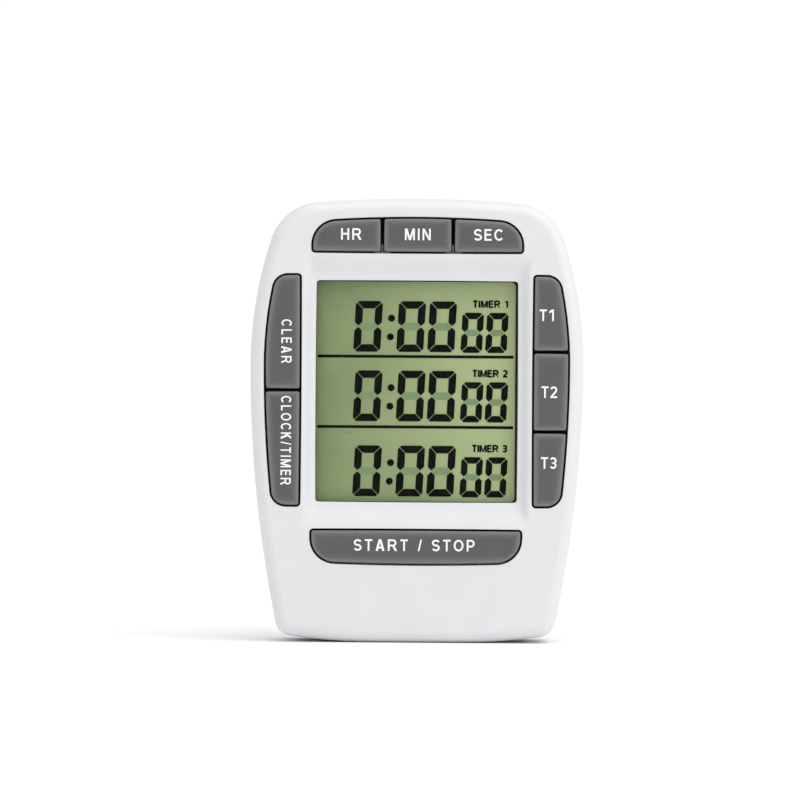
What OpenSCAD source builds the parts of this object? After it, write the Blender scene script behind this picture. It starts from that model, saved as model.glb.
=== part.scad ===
// Three-channel lab timer, standing on its base: X is width, -Y is the front, +Z is up.
// The origin is in the middle of the base. Outlines are drawn in X and Z and extruded along Y.

/* [Case] */
// Greatest width of the case
case_w = 66; // [64:0.5:68]
// Height of the case
case_h = 88; // [87:0.5:90]
// Thickness of the side walls
side_wall = 2; // [1.8:0.1:2.2]
// Width of the soft edge around the front face
front_edge = 2.5; // [1.5:0.1:3]

/* [Display] */
// Width of the display window
window_w = 40.1; // [36:0.1:40.5]
// Height of the display window
window_h = 44; // [40:0.1:44.4]
// Depth of the sunk panel around the window
panel_depth = 1.6; // [1:0.1:1.8]

/* [Keys] */
// Gap around a group of keys
key_gap = 0.4; // [0.3:0.05:0.45]
// Gap between two keys of one group
split_gap = 0.4; // [0.3:0.05:0.6]
// How far the keys stand above the front face
key_rise = 0.5; // [0.3:0.1:0.6]

/* [Back] */
// Width of the easel stand
stand_w = 26; // [20:1:28]
// Radius of each magnet
magnet_r = 4.5; // [3.5:0.1:4.8]
// Radius of the hanging hole
hang_r = 2.25; // [1.8:0.05:2.5]

/* [Hidden] */
$fn = 48;
eps = 0.1;                  // how far a cutting tool runs past a face
flat_r = 3000;              // arc radius that is straight over the size of a key

// Depths along Y, front to back
face_y = -9;                // front face of the case
seam_y = 1;                 // where the two covers meet
back_y = 9;                 // back face of the case
key_face_y = face_y - key_rise;
magnet_face_y = back_y + key_rise;
inner_y = -6.2;             // inner side of the front wall
rear_inner_y = 7.2;         // inner side of the rear wall
board_front_y = -0.4;
board_back_y = 0.6;
panel_floor_y = face_y + panel_depth;

// Case outline: arcs for the foot, lower side, upper side and top
half_w = case_w / 2;
widest_z = 55;
low_side_r = 250;
high_side_r = 80;
top_r = 255;
foot_r = 120;
foot_flat = 8;              // half the width that the case stands on
top_corner_r = 10.5;
foot_corner_r = 3.5;
low_side_c = [half_w - low_side_r, widest_z];
high_side_c = [half_w - high_side_r, widest_z];
top_c = [0, case_h - top_r];
foot_c = [foot_flat, foot_r];
rear_edge = 1.5;
rear_edge_depth = 2;
front_edge_depth = 3;

// Display window and the stack behind it
window_z = 49.75;
window_corner_r = 0.65;
panel_half_w = 22.4;
panel_low_z = 22.9;
panel_high_z = 76.9;
glass_half_w = 21.4;
glass_low_z = 25;
glass_high_z = 74.6;
rear_glass_low_z = 27.6;
rear_glass_high_z = 72;
lens_back_y = -5.2;
gasket_back_y = -4.7;
polariser_back_y = -4.5;
front_glass_back_y = -3.4;
rear_glass_back_y = -2.3;
reflector_back_y = -2.1;

// Key groups: outer limits of each group and where it is split
row_half_w = 20.8;          // top row and bottom key
top_row_z = 77.4;
top_row_inset = 4.1;        // distance from the case's top edge
top_split_x = 7;
side_in_x = 23.2;
side_inset = 3.1;           // distance from the case's side
side_low_z = 27.1;
side_high_z = 72.7;
left_split_z = 49.9;
right_split_low_z = 41.9;
right_split_high_z = 57.7;
start_low_z = 15.7;
start_high_z = 22.2;
start_bow_r = 500;
row_corner_r = 4.7;
side_corner_r = 2.8;
small_r = 0.6;
ledge_y = -6.15;            // front of the ledge that keeps a key in
ledge_back_y = -5.2;
ledge_w = 0.9;
ledge_end = 1.2;            // ledge stops this far from a key's end
ledge_round_end = 4.6;      // and this far from a rounded end
plunger_r = 2.1;
plunger_tip_y = -1.2;
mat_front_y = -1.6;

// Screws
high_screw = [25.4, 77.6];
low_screw = [26.8, 21.8];
case_screws_at = [high_screw, low_screw, [-high_screw[0], high_screw[1]], [-low_screw[0], low_screw[1]]];
boss_r = 2.4;
rear_boss_r = 2.8;
pilot_r = 1.05;
screw_r = 1;
screw_head_r = 1.9;
screw_seat_y = 6.6;
screw_head_h = 1.4;
screw_play = 0.15;
screw_head_play = 0.2;
screw_tip = 2;              // screw's end, from the front wall
boss_floor = 1.5;           // bottom of a screw's hole, from the front wall
board_screws_at = [[23.7, 18.6], [-23.7, 18.6]];
post_r = 1.5;
board_screw_r = 0.6;
board_screw_head_r = 1.2;
board_screw_head_h = 0.9;
board_screw_tip = 3;
post_floor = 2.5;

// Stand and its hinge
stand_axis = [7.7, 66];     // Y and Z of the hinge
stand_low_z = 18.5;
stand_in_y = 7.4;
stand_pin_r = 1;
stand_pin_len = 1.8;
stand_barrel_r = 1.2;
recess_gap = 0.4;
recess_low_z = 18;
hinge_play = 0.05;          // around pins, magnets and board screws
barrel_play = 0.3;          // around a hinge barrel
hinge_end_wall = 1;         // beyond a pin's end
hinge_wall = 1.8;           // under the stand's recess
hinge_top_wall = 2;         // above it
scoop_depth = 0.8;
notch_r = 5;

// Battery bay and door
cell_r = 5.25;
cell_half = 22.25;
cell_y = 2;
cell_z = 9.25;
bay_half_w = 24.7;
bay_low_z = 3.6;
bay_high_z = 14.9;
bay_front_y = -3.4;
bay_wall = 0.8;
bay_side_wall = 1.2;
bay_fit = 0.25;             // play between the bay and the front cover
door_half_w = 24.4;
door_low_z = 3.3;
door_axis = [8, 15.4];      // Y and Z of the hinge
door_in_y = 7.5;
door_barrel_r = 0.9;
door_pin_r = 0.6;
door_pin_len = 1.3;
door_gap = 0.2;
door_step_gap = 0.15;       // between the door and the step that it rests on
bay_back_wall = 0.45;       // between the bay and that step
bay_mouth_half_w = 23.2;
bay_mouth_low_z = 3.8;
bay_mouth_high_z = 14.7;

// Magnets and hanging hole
magnet_at = [13, 77.5];
magnet_seat_y = 7.5;
magnet_wall = 1.3;          // wall around a magnet
magnet_floor_t = 1.2;       // and under it
hang_z = 78;
hang_floor_y = 6.6;
hang_wall = 1.2;
hang_floor_t = 1;
stiffener = [20, 21, 72, 78];   // rib on the rear wall: X and Z from and to

// Buzzer
buzzer_z = 50;
buzzer_r = 10;
ceramic_r = 7;
buzzer_play = 0.1;
buzzer_ring_w = 1.1;
buzzer_ring_h = 1.6;
buzzer_shelf = 1;           // width of the shelf that the plate is glued to
buzzer_shelf_t = 0.3;
plate_thick = 0.25;
ceramic_thick = 0.25;

// ---- outlines ------------------------------------------------------------------------------

// Points on an arc, from angle a to angle b
function arc(c, r, a, b, n) = [for (i = [0:n]) c + r * [cos(a + (b - a) * i / n), sin(a + (b - a) * i / n)]];
function bearing(from, to) = atan2(to[1] - from[1], to[0] - from[0]);
// Angle b, turned by whole turns until it comes after angle a
function after(a, b) = a + ((b - a) % 360 + 360) % 360;
function drop_last(list) = [for (i = [0:len(list) - 2]) list[i]];

// Where two circles cross, on the left of the way from the first centre to the second
function meet(c1, r1, c2, r2) =
    let(d = norm(c2 - c1), u = (c2 - c1) / d, along = (r1 * r1 - r2 * r2 + d * d) / (2 * d))
    c1 + along * u + sqrt(r1 * r1 - along * along) * [-u[1], u[0]];

// Outline inside a ring of big arcs [centre, radius], counterclockwise, with a round of its
// own radius where each arc meets the next one, moved inwards by inset
function arcs_outline(sides, radii, inset = 0, side_n = 4, corner_n = 6) =
    let(n = len(sides),
        k = [for (i = [0:n - 1]) let(a = sides[i], b = sides[(i + 1) % n])
            meet(a[0], a[1] - radii[i], b[0], b[1] - radii[i])])
    [for (i = [0:n - 1])
        let(c = sides[i][0], next_c = sides[(i + 1) % n][0],
            a0 = bearing(c, k[(i + n - 1) % n]), a1 = after(a0, bearing(c, k[i])),
            b1 = after(a1, bearing(next_c, k[i])))
        each concat(drop_last(arc(c, sides[i][1] - inset, a0, a1, side_n)),
                    drop_last(arc(k[i], radii[i] - inset, a1, b1, corner_n)))];

// Arcs that stand for straight sides, and for sides that follow the case
function right_at(x) = [[x - flat_r, window_z], flat_r];
function left_at(x) = [[x + flat_r, window_z], flat_r];
function top_at(z) = [[0, z - flat_r], flat_r];
function bottom_at(z) = [[0, z + flat_r], flat_r];
function case_top(inset) = [top_c, top_r - inset];
function case_right(inset, high) = high
    ? [high_side_c, high_side_r - inset] : [low_side_c, low_side_r - inset];

function box_outline(x0, x1, z0, z1, r, inset = 0) =
    arcs_outline([right_at(x1), top_at(z1), left_at(x0), bottom_at(z0)], [r, r, r, r], inset, 1);

// Outline of the case, moved inwards by inset
function case_outline(inset) =
    let(high_corner = meet(high_side_c, high_side_r - top_corner_r, top_c, top_r - top_corner_r),
        low_corner = meet(foot_c, foot_r - foot_corner_r, low_side_c, low_side_r - foot_corner_r),
        foot_end = bearing(foot_c, low_corner),
        side_start = bearing(low_side_c, low_corner),
        side_end = bearing(high_side_c, high_corner),
        top_start = bearing(top_c, high_corner),
        right = concat(
            drop_last(arc(foot_c, foot_r - inset, -90, foot_end, 5)),
            drop_last(arc(low_corner, foot_corner_r - inset, foot_end, side_start, 6)),
            drop_last(arc(low_side_c, low_side_r - inset, side_start, 0, 6)),
            drop_last(arc(high_side_c, high_side_r - inset, 0, side_end, 6)),
            drop_last(arc(high_corner, top_corner_r - inset, side_end, top_start, 8)),
            arc(top_c, top_r - inset, top_start, 90, 4)),
        last = len(right) - 1)
    concat(right, [for (i = [last - 1:-1:0]) [-right[i][0], right[i][1]]]);

// ---- solids --------------------------------------------------------------------------------

function ring_at(outline, y) = [for (p = outline) [p[0], y, p[1]]];

// Closed skin over rings of points; the rings run from front to back, counterclockwise from the front
module loft(rings) {
    n = len(rings[0]);
    last = len(rings) - 1;
    points = [for (ring = rings) each ring];
    front = [[for (j = [n - 1:-1:0]) j]];
    back = [[for (j = [0:n - 1]) last * n + j]];
    skin = [for (i = [0:last - 1], j = [0:n - 1])
        let(a = i * n + j, b = i * n + (j + 1) % n) each [[a, b, b + n], [a, b + n, a + n]]];
    polyhedron(points = points, faces = concat(front, back, skin));
}

// The shape drawn in X and Z, between two depths
module slab(y0, y1) {
    translate([0, y1, 0]) rotate([90, 0, 0]) linear_extrude(y1 - y0) children();
}

// Cylinder along Y between two depths, at a place [x, z]
module rod_y(at, r, y0, y1, r_end = 0) {
    translate([at[0], y0, at[1]]) rotate([-90, 0, 0])
        cylinder(h = y1 - y0, r1 = r, r2 = r_end > 0 ? r_end : r);
}

// Cylinder along X between two places, at a point [y, z]
module rod_x(at, r, x0, x1, r_end = 0) {
    translate([x0, at[0], at[1]]) rotate([0, 90, 0])
        cylinder(h = x1 - x0, r1 = r, r2 = r_end > 0 ? r_end : r);
}

module box(x0, x1, y0, y1, z0, z1) {
    translate([x0, y0, z0]) cube([x1 - x0, y1 - y0, z1 - z0]);
}

module both_sides() {
    children();
    mirror([1, 0, 0]) children();
}

// Half of the case: a flat end face with a soft edge, then straight walls up to the seam
module case_half(end_y, seam, edge, edge_depth) {
    toward = sign(seam - end_y);
    rings = [for (a = [0:15:90])
        ring_at(case_outline(edge * (1 - sin(a))), end_y + toward * edge_depth * (1 - cos(a)))];
    all_rings = concat(rings, [ring_at(case_outline(0), seam)]);
    loft(toward > 0 ? all_rings : [for (i = [len(all_rings) - 1:-1:0]) all_rings[i]]);
}

// A thin round wire that follows a route of points
wire_sides = 8;
function unit(v) = v / norm(v);
function wire_ring(route, i, r, side_ref) =
    let(n = len(route),
        t = unit(route[min(i + 1, n - 1)] - route[max(i - 1, 0)]),
        u = unit(cross(side_ref, t)),
        v = cross(t, u))
    [for (j = [0:wire_sides - 1])
        route[i] + r * (cos(360 * j / wire_sides) * v + sin(360 * j / wire_sides) * u)];
module wire(route, r, side_ref = [0, 1, 0]) {
    loft([for (i = [0:len(route) - 1]) wire_ring(route, i, r, side_ref)]);
}

// ---- key outlines --------------------------------------------------------------------------

// Each outline is [sides, corner radii], sides in the order right, top, left, bottom,
// corners in the order right top, left top, left bottom, right bottom
half_split = split_gap / 2;
row_top = case_top(top_row_inset);
row_bottom = bottom_at(top_row_z);
min_outline = [[right_at(top_split_x - half_split), row_top, left_at(half_split - top_split_x), row_bottom],
    [small_r, small_r, small_r, small_r]];
sec_outline = [[right_at(row_half_w), row_top, left_at(top_split_x + half_split), row_bottom],
    [row_corner_r, small_r, small_r, small_r]];
row_outline = [[right_at(row_half_w), row_top, left_at(-row_half_w), row_bottom],
    [row_corner_r, row_corner_r, small_r, small_r]];
start_outline = [[right_at(row_half_w), top_at(start_high_z), left_at(-row_half_w),
    [[0, start_low_z + start_bow_r], start_bow_r]], [small_r, small_r, row_corner_r, row_corner_r]];

// Key at the right side, from z0 to z1; a rounded end has the group's outer corner
function side_key_outline(z0, z1, high, round_top, round_bottom) =
    [[case_right(side_inset, high), top_at(z1), left_at(side_in_x), bottom_at(z0)],
     [round_top ? side_corner_r : small_r, small_r, small_r, round_bottom ? side_corner_r : small_r]];
t1_outline = side_key_outline(right_split_high_z + half_split, side_high_z, true, true, false);
t2_outline = side_key_outline(right_split_low_z + half_split, right_split_high_z - half_split,
    false, false, false);
t3_outline = side_key_outline(side_low_z, right_split_low_z - half_split, false, false, true);
clear_outline = side_key_outline(left_split_z + half_split, side_high_z, true, true, false);
clock_outline = side_key_outline(side_low_z, left_split_z - half_split, false, false, true);
side_high_outline = side_key_outline(right_split_low_z, side_high_z, true, true, false);
side_low_outline = side_key_outline(side_low_z, right_split_high_z, false, false, true);

// Hole in the front wall for a key group
module key_opening(outline) {
    slab(face_y - key_rise, inner_y + eps)
        polygon(arcs_outline(outline[0], outline[1], -key_gap));
}

// Key with a soft front edge
key_edge = 0.45;
module key_body(outline) {
    loft([for (ring = [[1, 0], [0.3, 0.27], [0, 1]])
            ring_at(arcs_outline(outline[0], outline[1], ring[0] * key_edge),
                key_face_y + ring[1] * key_edge),
        ring_at(arcs_outline(outline[0], outline[1]), ledge_back_y)]);
}

// Ledge behind the front wall that keeps a key in
module ledge(x0, x1, z0, z1) {
    box(x0, x1, ledge_y, ledge_back_y, z0, z1);
}

// Key of the top row, with its ledge above and below
module row_key(outline, x0, x1) {
    key_body(outline);
    ledge(x0, x1, top_row_z - ledge_w, case_h - top_row_inset);
}

// Key at the right side, with its ledge to the left and right
module side_key(outline, z0, z1) {
    key_body(outline);
    ledge(side_in_x - ledge_w, half_w - side_inset - ledge_w / 2, z0, z1);
}

// Rubber plunger behind a key, with a carbon tip
module plunger(at) {
    rod_y(at, plunger_r, ledge_back_y, plunger_tip_y);
}

// Middles of the keys, where the plungers are
row_mid_z = 80.6;
row_outer_x = 13.8;
side_mid_x = 26.4;
clear_z = 61.3;
clock_z = 38.5;
t1_z = 65;
t2_z = 49.8;
t3_z = 34.6;
start_z = 18.95;
start_plunger_x = 11;
plungers_at = [[-row_outer_x, row_mid_z], [0, row_mid_z], [row_outer_x, row_mid_z],
    [-side_mid_x, clear_z], [-side_mid_x, clock_z],
    [side_mid_x, t1_z], [side_mid_x, t2_z], [side_mid_x, t3_z],
    [-start_plunger_x, start_z], [start_plunger_x, start_z]];

// ---- case ----------------------------------------------------------------------------------

module front_cover() {
    color("whitesmoke") {
        difference() {
            case_half(face_y, seam_y, front_edge, front_edge_depth);
            slab(inner_y, seam_y + eps) polygon(case_outline(side_wall));
            sunk_panel();
            slab(face_y, inner_y + eps)
                polygon(box_outline(-window_w / 2, window_w / 2,
                    window_z - window_h / 2, window_z + window_h / 2, window_corner_r));
            key_opening(row_outline);
            key_opening(start_outline);
            key_opening(side_high_outline);
            key_opening(side_low_outline);
            mirror([1, 0, 0]) key_opening(side_high_outline);
            mirror([1, 0, 0]) key_opening(side_low_outline);
        }
        for (at = case_screws_at) screw_boss(at);
        for (at = board_screws_at) board_post(at);
        display_ribs();
    }
}

// Hollow in the front face: steep at the sides, gentle at the top and bottom
module sunk_panel() {
    wide = box_outline(-panel_half_w, panel_half_w, panel_low_z, panel_high_z, 1.2);
    narrow = box_outline(-window_w / 2, window_w / 2,
        window_z - window_h / 2, window_z + window_h / 2, window_corner_r);
    loft([ring_at(wide, key_face_y), ring_at(wide, face_y), ring_at(narrow, panel_floor_y)]);
}

module screw_boss(at) {
    difference() {
        rod_y(at, boss_r, inner_y, seam_y);
        rod_y(at, pilot_r, inner_y + boss_floor, seam_y + eps);
    }
}

module board_post(at) {
    difference() {
        rod_y(at, post_r, inner_y, board_front_y);
        rod_y(at, board_screw_r + hinge_play, inner_y + post_floor, board_front_y + eps);
    }
}

// Two ribs that hold the display in place
rib_half_w = 20;
rib_w = 1;
module display_ribs() {
    box(-rib_half_w, rib_half_w, inner_y, front_glass_back_y, glass_high_z + eps, glass_high_z + eps + rib_w);
    box(-rib_half_w, rib_half_w, inner_y, front_glass_back_y, glass_low_z - eps - rib_w, glass_low_z - eps);
}

recess_half_w = stand_w / 2 + recess_gap;
hinge_block_half_w = recess_half_w + stand_pin_len + hinge_end_wall;
recess_floor_y = stand_in_y - door_gap;
recess_inner_y = recess_floor_y - hinge_wall;
recess_high_z = stand_axis[1] + stand_barrel_r + barrel_play;
bay_outer_half_w = bay_half_w + bay_side_wall;
bay_outer_front_y = bay_front_y - bay_wall;
bay_outer_high_z = bay_high_z + bay_side_wall;

module rear_cover() {
    color("gainsboro") difference() {
        union() {
            difference() {
                case_half(back_y, seam_y, rear_edge, rear_edge_depth);
                slab(seam_y - eps, rear_inner_y) polygon(case_outline(side_wall));
            }
            box(-hinge_block_half_w, hinge_block_half_w, recess_inner_y, rear_inner_y + eps,
                bay_outer_high_z - eps, recess_high_z + hinge_top_wall);
            battery_bay();
            for (at = case_screws_at) rod_y(at, rear_boss_r, seam_y, rear_inner_y + eps);
            both_sides()
                rod_y(magnet_at, magnet_r + magnet_wall, magnet_seat_y - magnet_floor_t, rear_inner_y + eps);
            rod_y([0, hang_z], hang_r + hang_wall, hang_floor_y - hang_floor_t, rear_inner_y + eps);
            buzzer_ring();
            both_sides()
                box(stiffener[0], stiffener[1], board_back_y, rear_inner_y + eps, stiffener[2], stiffener[3]);
        }
        stand_recess();
        door_recess();
        box(-bay_half_w, bay_half_w, bay_front_y, door_in_y - door_step_gap - bay_back_wall,
            bay_low_z, bay_high_z);
        both_sides() box(lead_x - lead_slot / 2, lead_x + lead_slot / 2,
            lead_y - lead_slot * 0.75, lead_y + lead_slot * 0.75, bay_high_z - eps, bay_outer_high_z + eps);
        for (at = case_screws_at) screw_hole(at);
        both_sides() rod_y(magnet_at, magnet_r + hinge_play, magnet_seat_y, back_y + eps);
        rod_y([0, hang_z], hang_r, hang_floor_y, back_y + eps);
    }
}

// Closed tub for the cell; its front half fits inside the front cover
module battery_bay() {
    intersection() {
        box(-bay_outer_half_w, bay_outer_half_w, bay_outer_front_y, rear_inner_y + eps,
            side_wall, bay_outer_high_z);
        slab(bay_outer_front_y - eps, back_y) polygon(case_outline(side_wall + bay_fit));
    }
    intersection() {
        box(-bay_outer_half_w, bay_outer_half_w, seam_y, rear_inner_y + eps, side_wall - eps, bay_low_z);
        slab(seam_y, back_y) polygon(case_outline(side_wall - eps));
    }
}

module screw_hole(at) {
    rod_y(at, screw_r + screw_play, seam_y - eps, screw_seat_y + eps);
    rod_y(at, screw_head_r + screw_head_play, screw_seat_y, back_y + eps);
}

module buzzer_ring() {
    difference() {
        rod_y([0, buzzer_z], buzzer_r + buzzer_ring_w, recess_inner_y - buzzer_ring_h, recess_inner_y + eps);
        rod_y([0, buzzer_z], buzzer_r + buzzer_play,
            recess_inner_y - buzzer_ring_h - eps, recess_inner_y - buzzer_shelf_t);
        rod_y([0, buzzer_z], buzzer_r - buzzer_shelf, recess_inner_y - buzzer_shelf_t - eps, recess_inner_y);
    }
}

// Recess that takes the closed stand, with bores for its pins and a scoop for a fingertip
module stand_recess() {
    box(-recess_half_w, recess_half_w, recess_floor_y, back_y + eps, recess_low_z, stand_axis[1]);
    rod_x(stand_axis, stand_barrel_r + barrel_play, -recess_half_w, recess_half_w);
    box(-recess_half_w, recess_half_w, stand_axis[0], back_y + eps, stand_axis[1] - eps, recess_high_z);
    rod_x(stand_axis, stand_pin_r + hinge_play,
        -recess_half_w - stand_pin_len, recess_half_w + stand_pin_len);
    rod_y([0, recess_low_z + 2], notch_r - 1, recess_floor_y - scoop_depth, recess_floor_y + eps);
}

// Step around the battery bay's mouth that takes the closed door, with bores for its pins
module door_recess() {
    box(-door_half_w - door_gap, door_half_w + door_gap, door_in_y - door_step_gap, back_y + eps,
        door_low_z - door_gap, door_axis[1]);
    rod_x(door_axis, door_barrel_r + barrel_play, -door_half_w - door_gap, door_half_w + door_gap);
    box(-door_half_w - door_gap, door_half_w + door_gap, door_axis[0], back_y + eps,
        door_axis[1] - eps, door_axis[1] + door_barrel_r + barrel_play);
    rod_x(door_axis, door_pin_r + hinge_play,
        -door_half_w - door_gap - door_pin_len, door_half_w + door_gap + door_pin_len);
    box(-bay_mouth_half_w, bay_mouth_half_w, bay_front_y, back_y, bay_mouth_low_z, bay_mouth_high_z);
}

module stand() {
    color("gainsboro") {
        difference() {
            box(-stand_w / 2, stand_w / 2, stand_in_y, back_y, stand_low_z, stand_axis[1]);
            rod_y([0, stand_low_z - 1], notch_r, stand_in_y - eps, back_y + eps);
        }
        rod_x(stand_axis, stand_barrel_r, -stand_w / 2, stand_w / 2);
        rod_x(stand_axis, stand_pin_r, -stand_w / 2 - stand_pin_len, stand_w / 2 + stand_pin_len);
    }
}

module battery_door() {
    color("gainsboro") {
        box(-door_half_w, door_half_w, door_in_y, back_y, door_low_z, door_axis[1]);
        rod_x(door_axis, door_barrel_r, -door_half_w, door_half_w);
        rod_x(door_axis, door_pin_r, -door_half_w - door_pin_len, door_half_w + door_pin_len);
    }
}

// Screws with a cross slot; the heads face the back
cross_w = 0.5;
module cross_head(at, r, y0, y1) {
    difference() {
        rod_y(at, r, y0, y1);
        for (turn = [0, 90])
            translate([at[0], 0, at[1]]) rotate([0, turn, 0])
                box(-r * 0.65, r * 0.65, (y0 + y1) / 2, y1 + eps, -cross_w / 2, cross_w / 2);
    }
}

module case_screws() {
    color("silver") for (at = case_screws_at) {
        rod_y(at, screw_r, inner_y + screw_tip, screw_seat_y);
        cross_head(at, screw_head_r, screw_seat_y, screw_seat_y + screw_head_h);
    }
}

module board_screws() {
    color("silver") for (at = board_screws_at) {
        rod_y(at, board_screw_r, inner_y + board_screw_tip, board_back_y);
        cross_head(at, board_screw_head_r, board_back_y, board_back_y + board_screw_head_h);
    }
}

module magnets() {
    color("dimgray") both_sides() rod_y(magnet_at, magnet_r, magnet_seat_y, magnet_face_y);
}

// ---- display -------------------------------------------------------------------------------

module glass_sheet(y0, y1, z0, z1) {
    box(-glass_half_w, glass_half_w, y0, y1, z0, z1);
}

module display_lens() {
    color("lightcyan", 0.3) glass_sheet(inner_y, lens_back_y, glass_low_z, glass_high_z);
}

gasket_w = 0.9;
gasket_end_w = 2;
module lcd_gasket() {
    color("black") difference() {
        glass_sheet(lens_back_y, gasket_back_y, glass_low_z, glass_high_z);
        box(gasket_w - glass_half_w, glass_half_w - gasket_w, lens_back_y - eps, gasket_back_y + eps,
            glass_low_z + gasket_end_w, glass_high_z - gasket_end_w);
    }
}

module lcd_front_polariser() {
    color("darkseagreen", 0.4) glass_sheet(gasket_back_y, polariser_back_y, glass_low_z, glass_high_z);
}

module lcd_front_glass() {
    color("honeydew", 0.4) glass_sheet(polariser_back_y, front_glass_back_y, glass_low_z, glass_high_z);
}

module lcd_rear_glass() {
    color("honeydew", 0.4)
        glass_sheet(front_glass_back_y, rear_glass_back_y, rear_glass_low_z, rear_glass_high_z);
}

module lcd_reflector() {
    color("darkseagreen")
        glass_sheet(rear_glass_back_y, reflector_back_y, rear_glass_low_z, rear_glass_high_z);
}

// Striped rubber strips between the front glass and the board, above and below the rear glass
strip_w = 1.8;
strip_gap = 0.3;
module zebra_strips() {
    color("pink") for (z = [glass_low_z + strip_gap, glass_high_z - strip_gap - strip_w])
        box(-glass_half_w + 1, glass_half_w - 1, front_glass_back_y, board_front_y, z, z + strip_w);
}

// ---- electronics ---------------------------------------------------------------------------

board_inset = 2.6;
board_gap = 0.3;            // around the bay, posts and bosses
plunger_gap = 0.5;
board_low_z = bay_outer_high_z + board_gap;
board_high_z = 84.4;

module board_area(y0, y1, inset) {
    intersection() {
        slab(y0, y1) polygon(case_outline(inset));
        box(-half_w, half_w, y0 - eps, y1 + eps, board_low_z, board_high_z);
    }
}

module main_board() {
    color("seagreen") difference() {
        board_area(board_front_y, board_back_y, board_inset);
        for (at = case_screws_at) rod_y(at, rear_boss_r + board_gap, board_front_y - eps, board_back_y + eps);
        for (at = board_screws_at)
            rod_y(at, board_screw_r + hinge_play, board_front_y - eps, board_back_y + eps);
    }
}

// Silicone sheet around the display, with a hole around each plunger
module keypad_mat() {
    color("dimgray") difference() {
        board_area(mat_front_y, board_front_y, board_inset);
        box(-side_in_x + 1, side_in_x - 1, mat_front_y - eps, board_front_y + eps,
            glass_low_z - 1, glass_high_z + 1);
        for (at = case_screws_at) rod_y(at, rear_boss_r + board_gap, mat_front_y - eps, board_front_y + eps);
        for (at = board_screws_at) rod_y(at, post_r + board_gap, mat_front_y - eps, board_front_y + eps);
        for (at = plungers_at) rod_y(at, plunger_r + plunger_gap, mat_front_y - eps, board_front_y + eps);
    }
}

chip_r = 6.5;
chip_h = 1.2;
chip_at = [-14, 62];
module chip_cover() {
    color("black") rod_y(chip_at, chip_r, board_back_y, board_back_y + chip_h, chip_r * 0.7);
}

crystal_r = 1;
crystal_half = 3;
crystal_z = 51;
module crystal_can() {
    color("silver") rod_x([board_back_y + crystal_r, crystal_z], crystal_r,
        chip_at[0] - crystal_half, chip_at[0] + crystal_half);
}

// A row of small chips on the back of the board
module chip_row(count, x0, z0, w, h, pitch) {
    for (i = [0:count - 1])
        box(x0 + i * pitch, x0 + i * pitch + w, board_back_y, board_back_y + h, z0, z0 + 2 * w);
}

module chip_capacitors() {
    color("tan") chip_row(4, 6, 70, 1.2, 1.1, 2.6);
}

module chip_resistors() {
    color("black") chip_row(6, 4, 24, 0.9, 0.5, 2.2);
}

buzzer_plate_y = recess_inner_y - buzzer_shelf_t;
ceramic_y = buzzer_plate_y - plate_thick;
module buzzer_plate() {
    color("gold") rod_y([0, buzzer_z], buzzer_r, ceramic_y, buzzer_plate_y);
}

module buzzer_ceramic() {
    color("white") rod_y([0, buzzer_z], ceramic_r, ceramic_y - ceramic_thick, ceramic_y);
}

// S-shaped wire between two points that both lie on surfaces facing Y
lead_r = 0.35;
module bowed_lead(from, to) {
    wire([for (i = [0:8]) let(f = i / 8)
        from + (to - from) * [[(1 - cos(180 * f)) / 2, 0, 0], [0, f, 0], [0, 0, (1 - cos(180 * f)) / 2]]],
        lead_r, [1, 0, 0]);
}

module buzzer_lead_a() {
    color("red") bowed_lead([3, board_back_y, 37], [2, ceramic_y - ceramic_thick, 46]);
}

module buzzer_lead_b() {
    color("black") bowed_lead([-3, board_back_y, 37], [-8.4, ceramic_y, 47]);
}

// ---- battery -------------------------------------------------------------------------------

nipple_r = 1.9;
nipple_len = 1;
module battery_cell() {
    color("steelblue") {
        rod_x([cell_y, cell_z], cell_r, -cell_half, cell_half - nipple_len);
        rod_x([cell_y, cell_z], nipple_r, cell_half - nipple_len, cell_half);
    }
}

plate_t = 0.4;
lead_x = bay_half_w - plate_t - lead_r;
lead_y = 4.5;
lead_slot = 1.2;            // width of the hole that a lead leaves the bay by
contact_half_y = 3;
contact_low_z = 5;
contact_high_z = 13.6;

module contact_plate(x0) {
    box(x0, x0 + plate_t, cell_y - contact_half_y, cell_y + contact_half_y, contact_low_z, contact_high_z);
}

module battery_positive_contact() {
    color("silver") {
        contact_plate(bay_half_w - plate_t);
        rod_x([cell_y, cell_z], nipple_r, cell_half, bay_half_w - plate_t, nipple_r + 1);
    }
}

// Cone-shaped spring of round wire, wide at the plate
spring_turns = 3;
spring_steps = 14;
spring_wire_r = 0.3;
spring_small_r = 1.8;
spring_large_r = 3.6;
module battery_negative_spring() {
    len = bay_half_w - plate_t - cell_half - 2 * spring_wire_r;
    count = spring_turns * spring_steps;
    color("silver") {
        contact_plate(-bay_half_w);
        wire([for (i = [0:count]) let(f = i / count, a = 360 * i / spring_steps,
                r = spring_large_r + (spring_small_r - spring_large_r) * f)
            [-bay_half_w + plate_t + spring_wire_r + len * f, cell_y + r * cos(a), cell_z + r * sin(a)]],
            spring_wire_r, [1, 0, 0]);
    }
}

// Lead from a contact plate, out of the bay and onto the back of the board
module battery_lead(side) {
    wire([[side * lead_x, lead_y, contact_high_z - 1], [side * lead_x, lead_y, bay_outer_high_z],
        [side * (lead_x - 0.6), lead_y - 0.4, bay_outer_high_z + 2.4],
        [side * (lead_x - 2), 2.4, bay_outer_high_z + 4.4],
        [side * (lead_x - 2.6), board_back_y, bay_outer_high_z + 5.2]], lead_r);
}

module battery_lead_red() {
    color("red") battery_lead(1);
}

module battery_lead_black() {
    color("black") battery_lead(-1);
}

// ---- keys ----------------------------------------------------------------------------------

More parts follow.
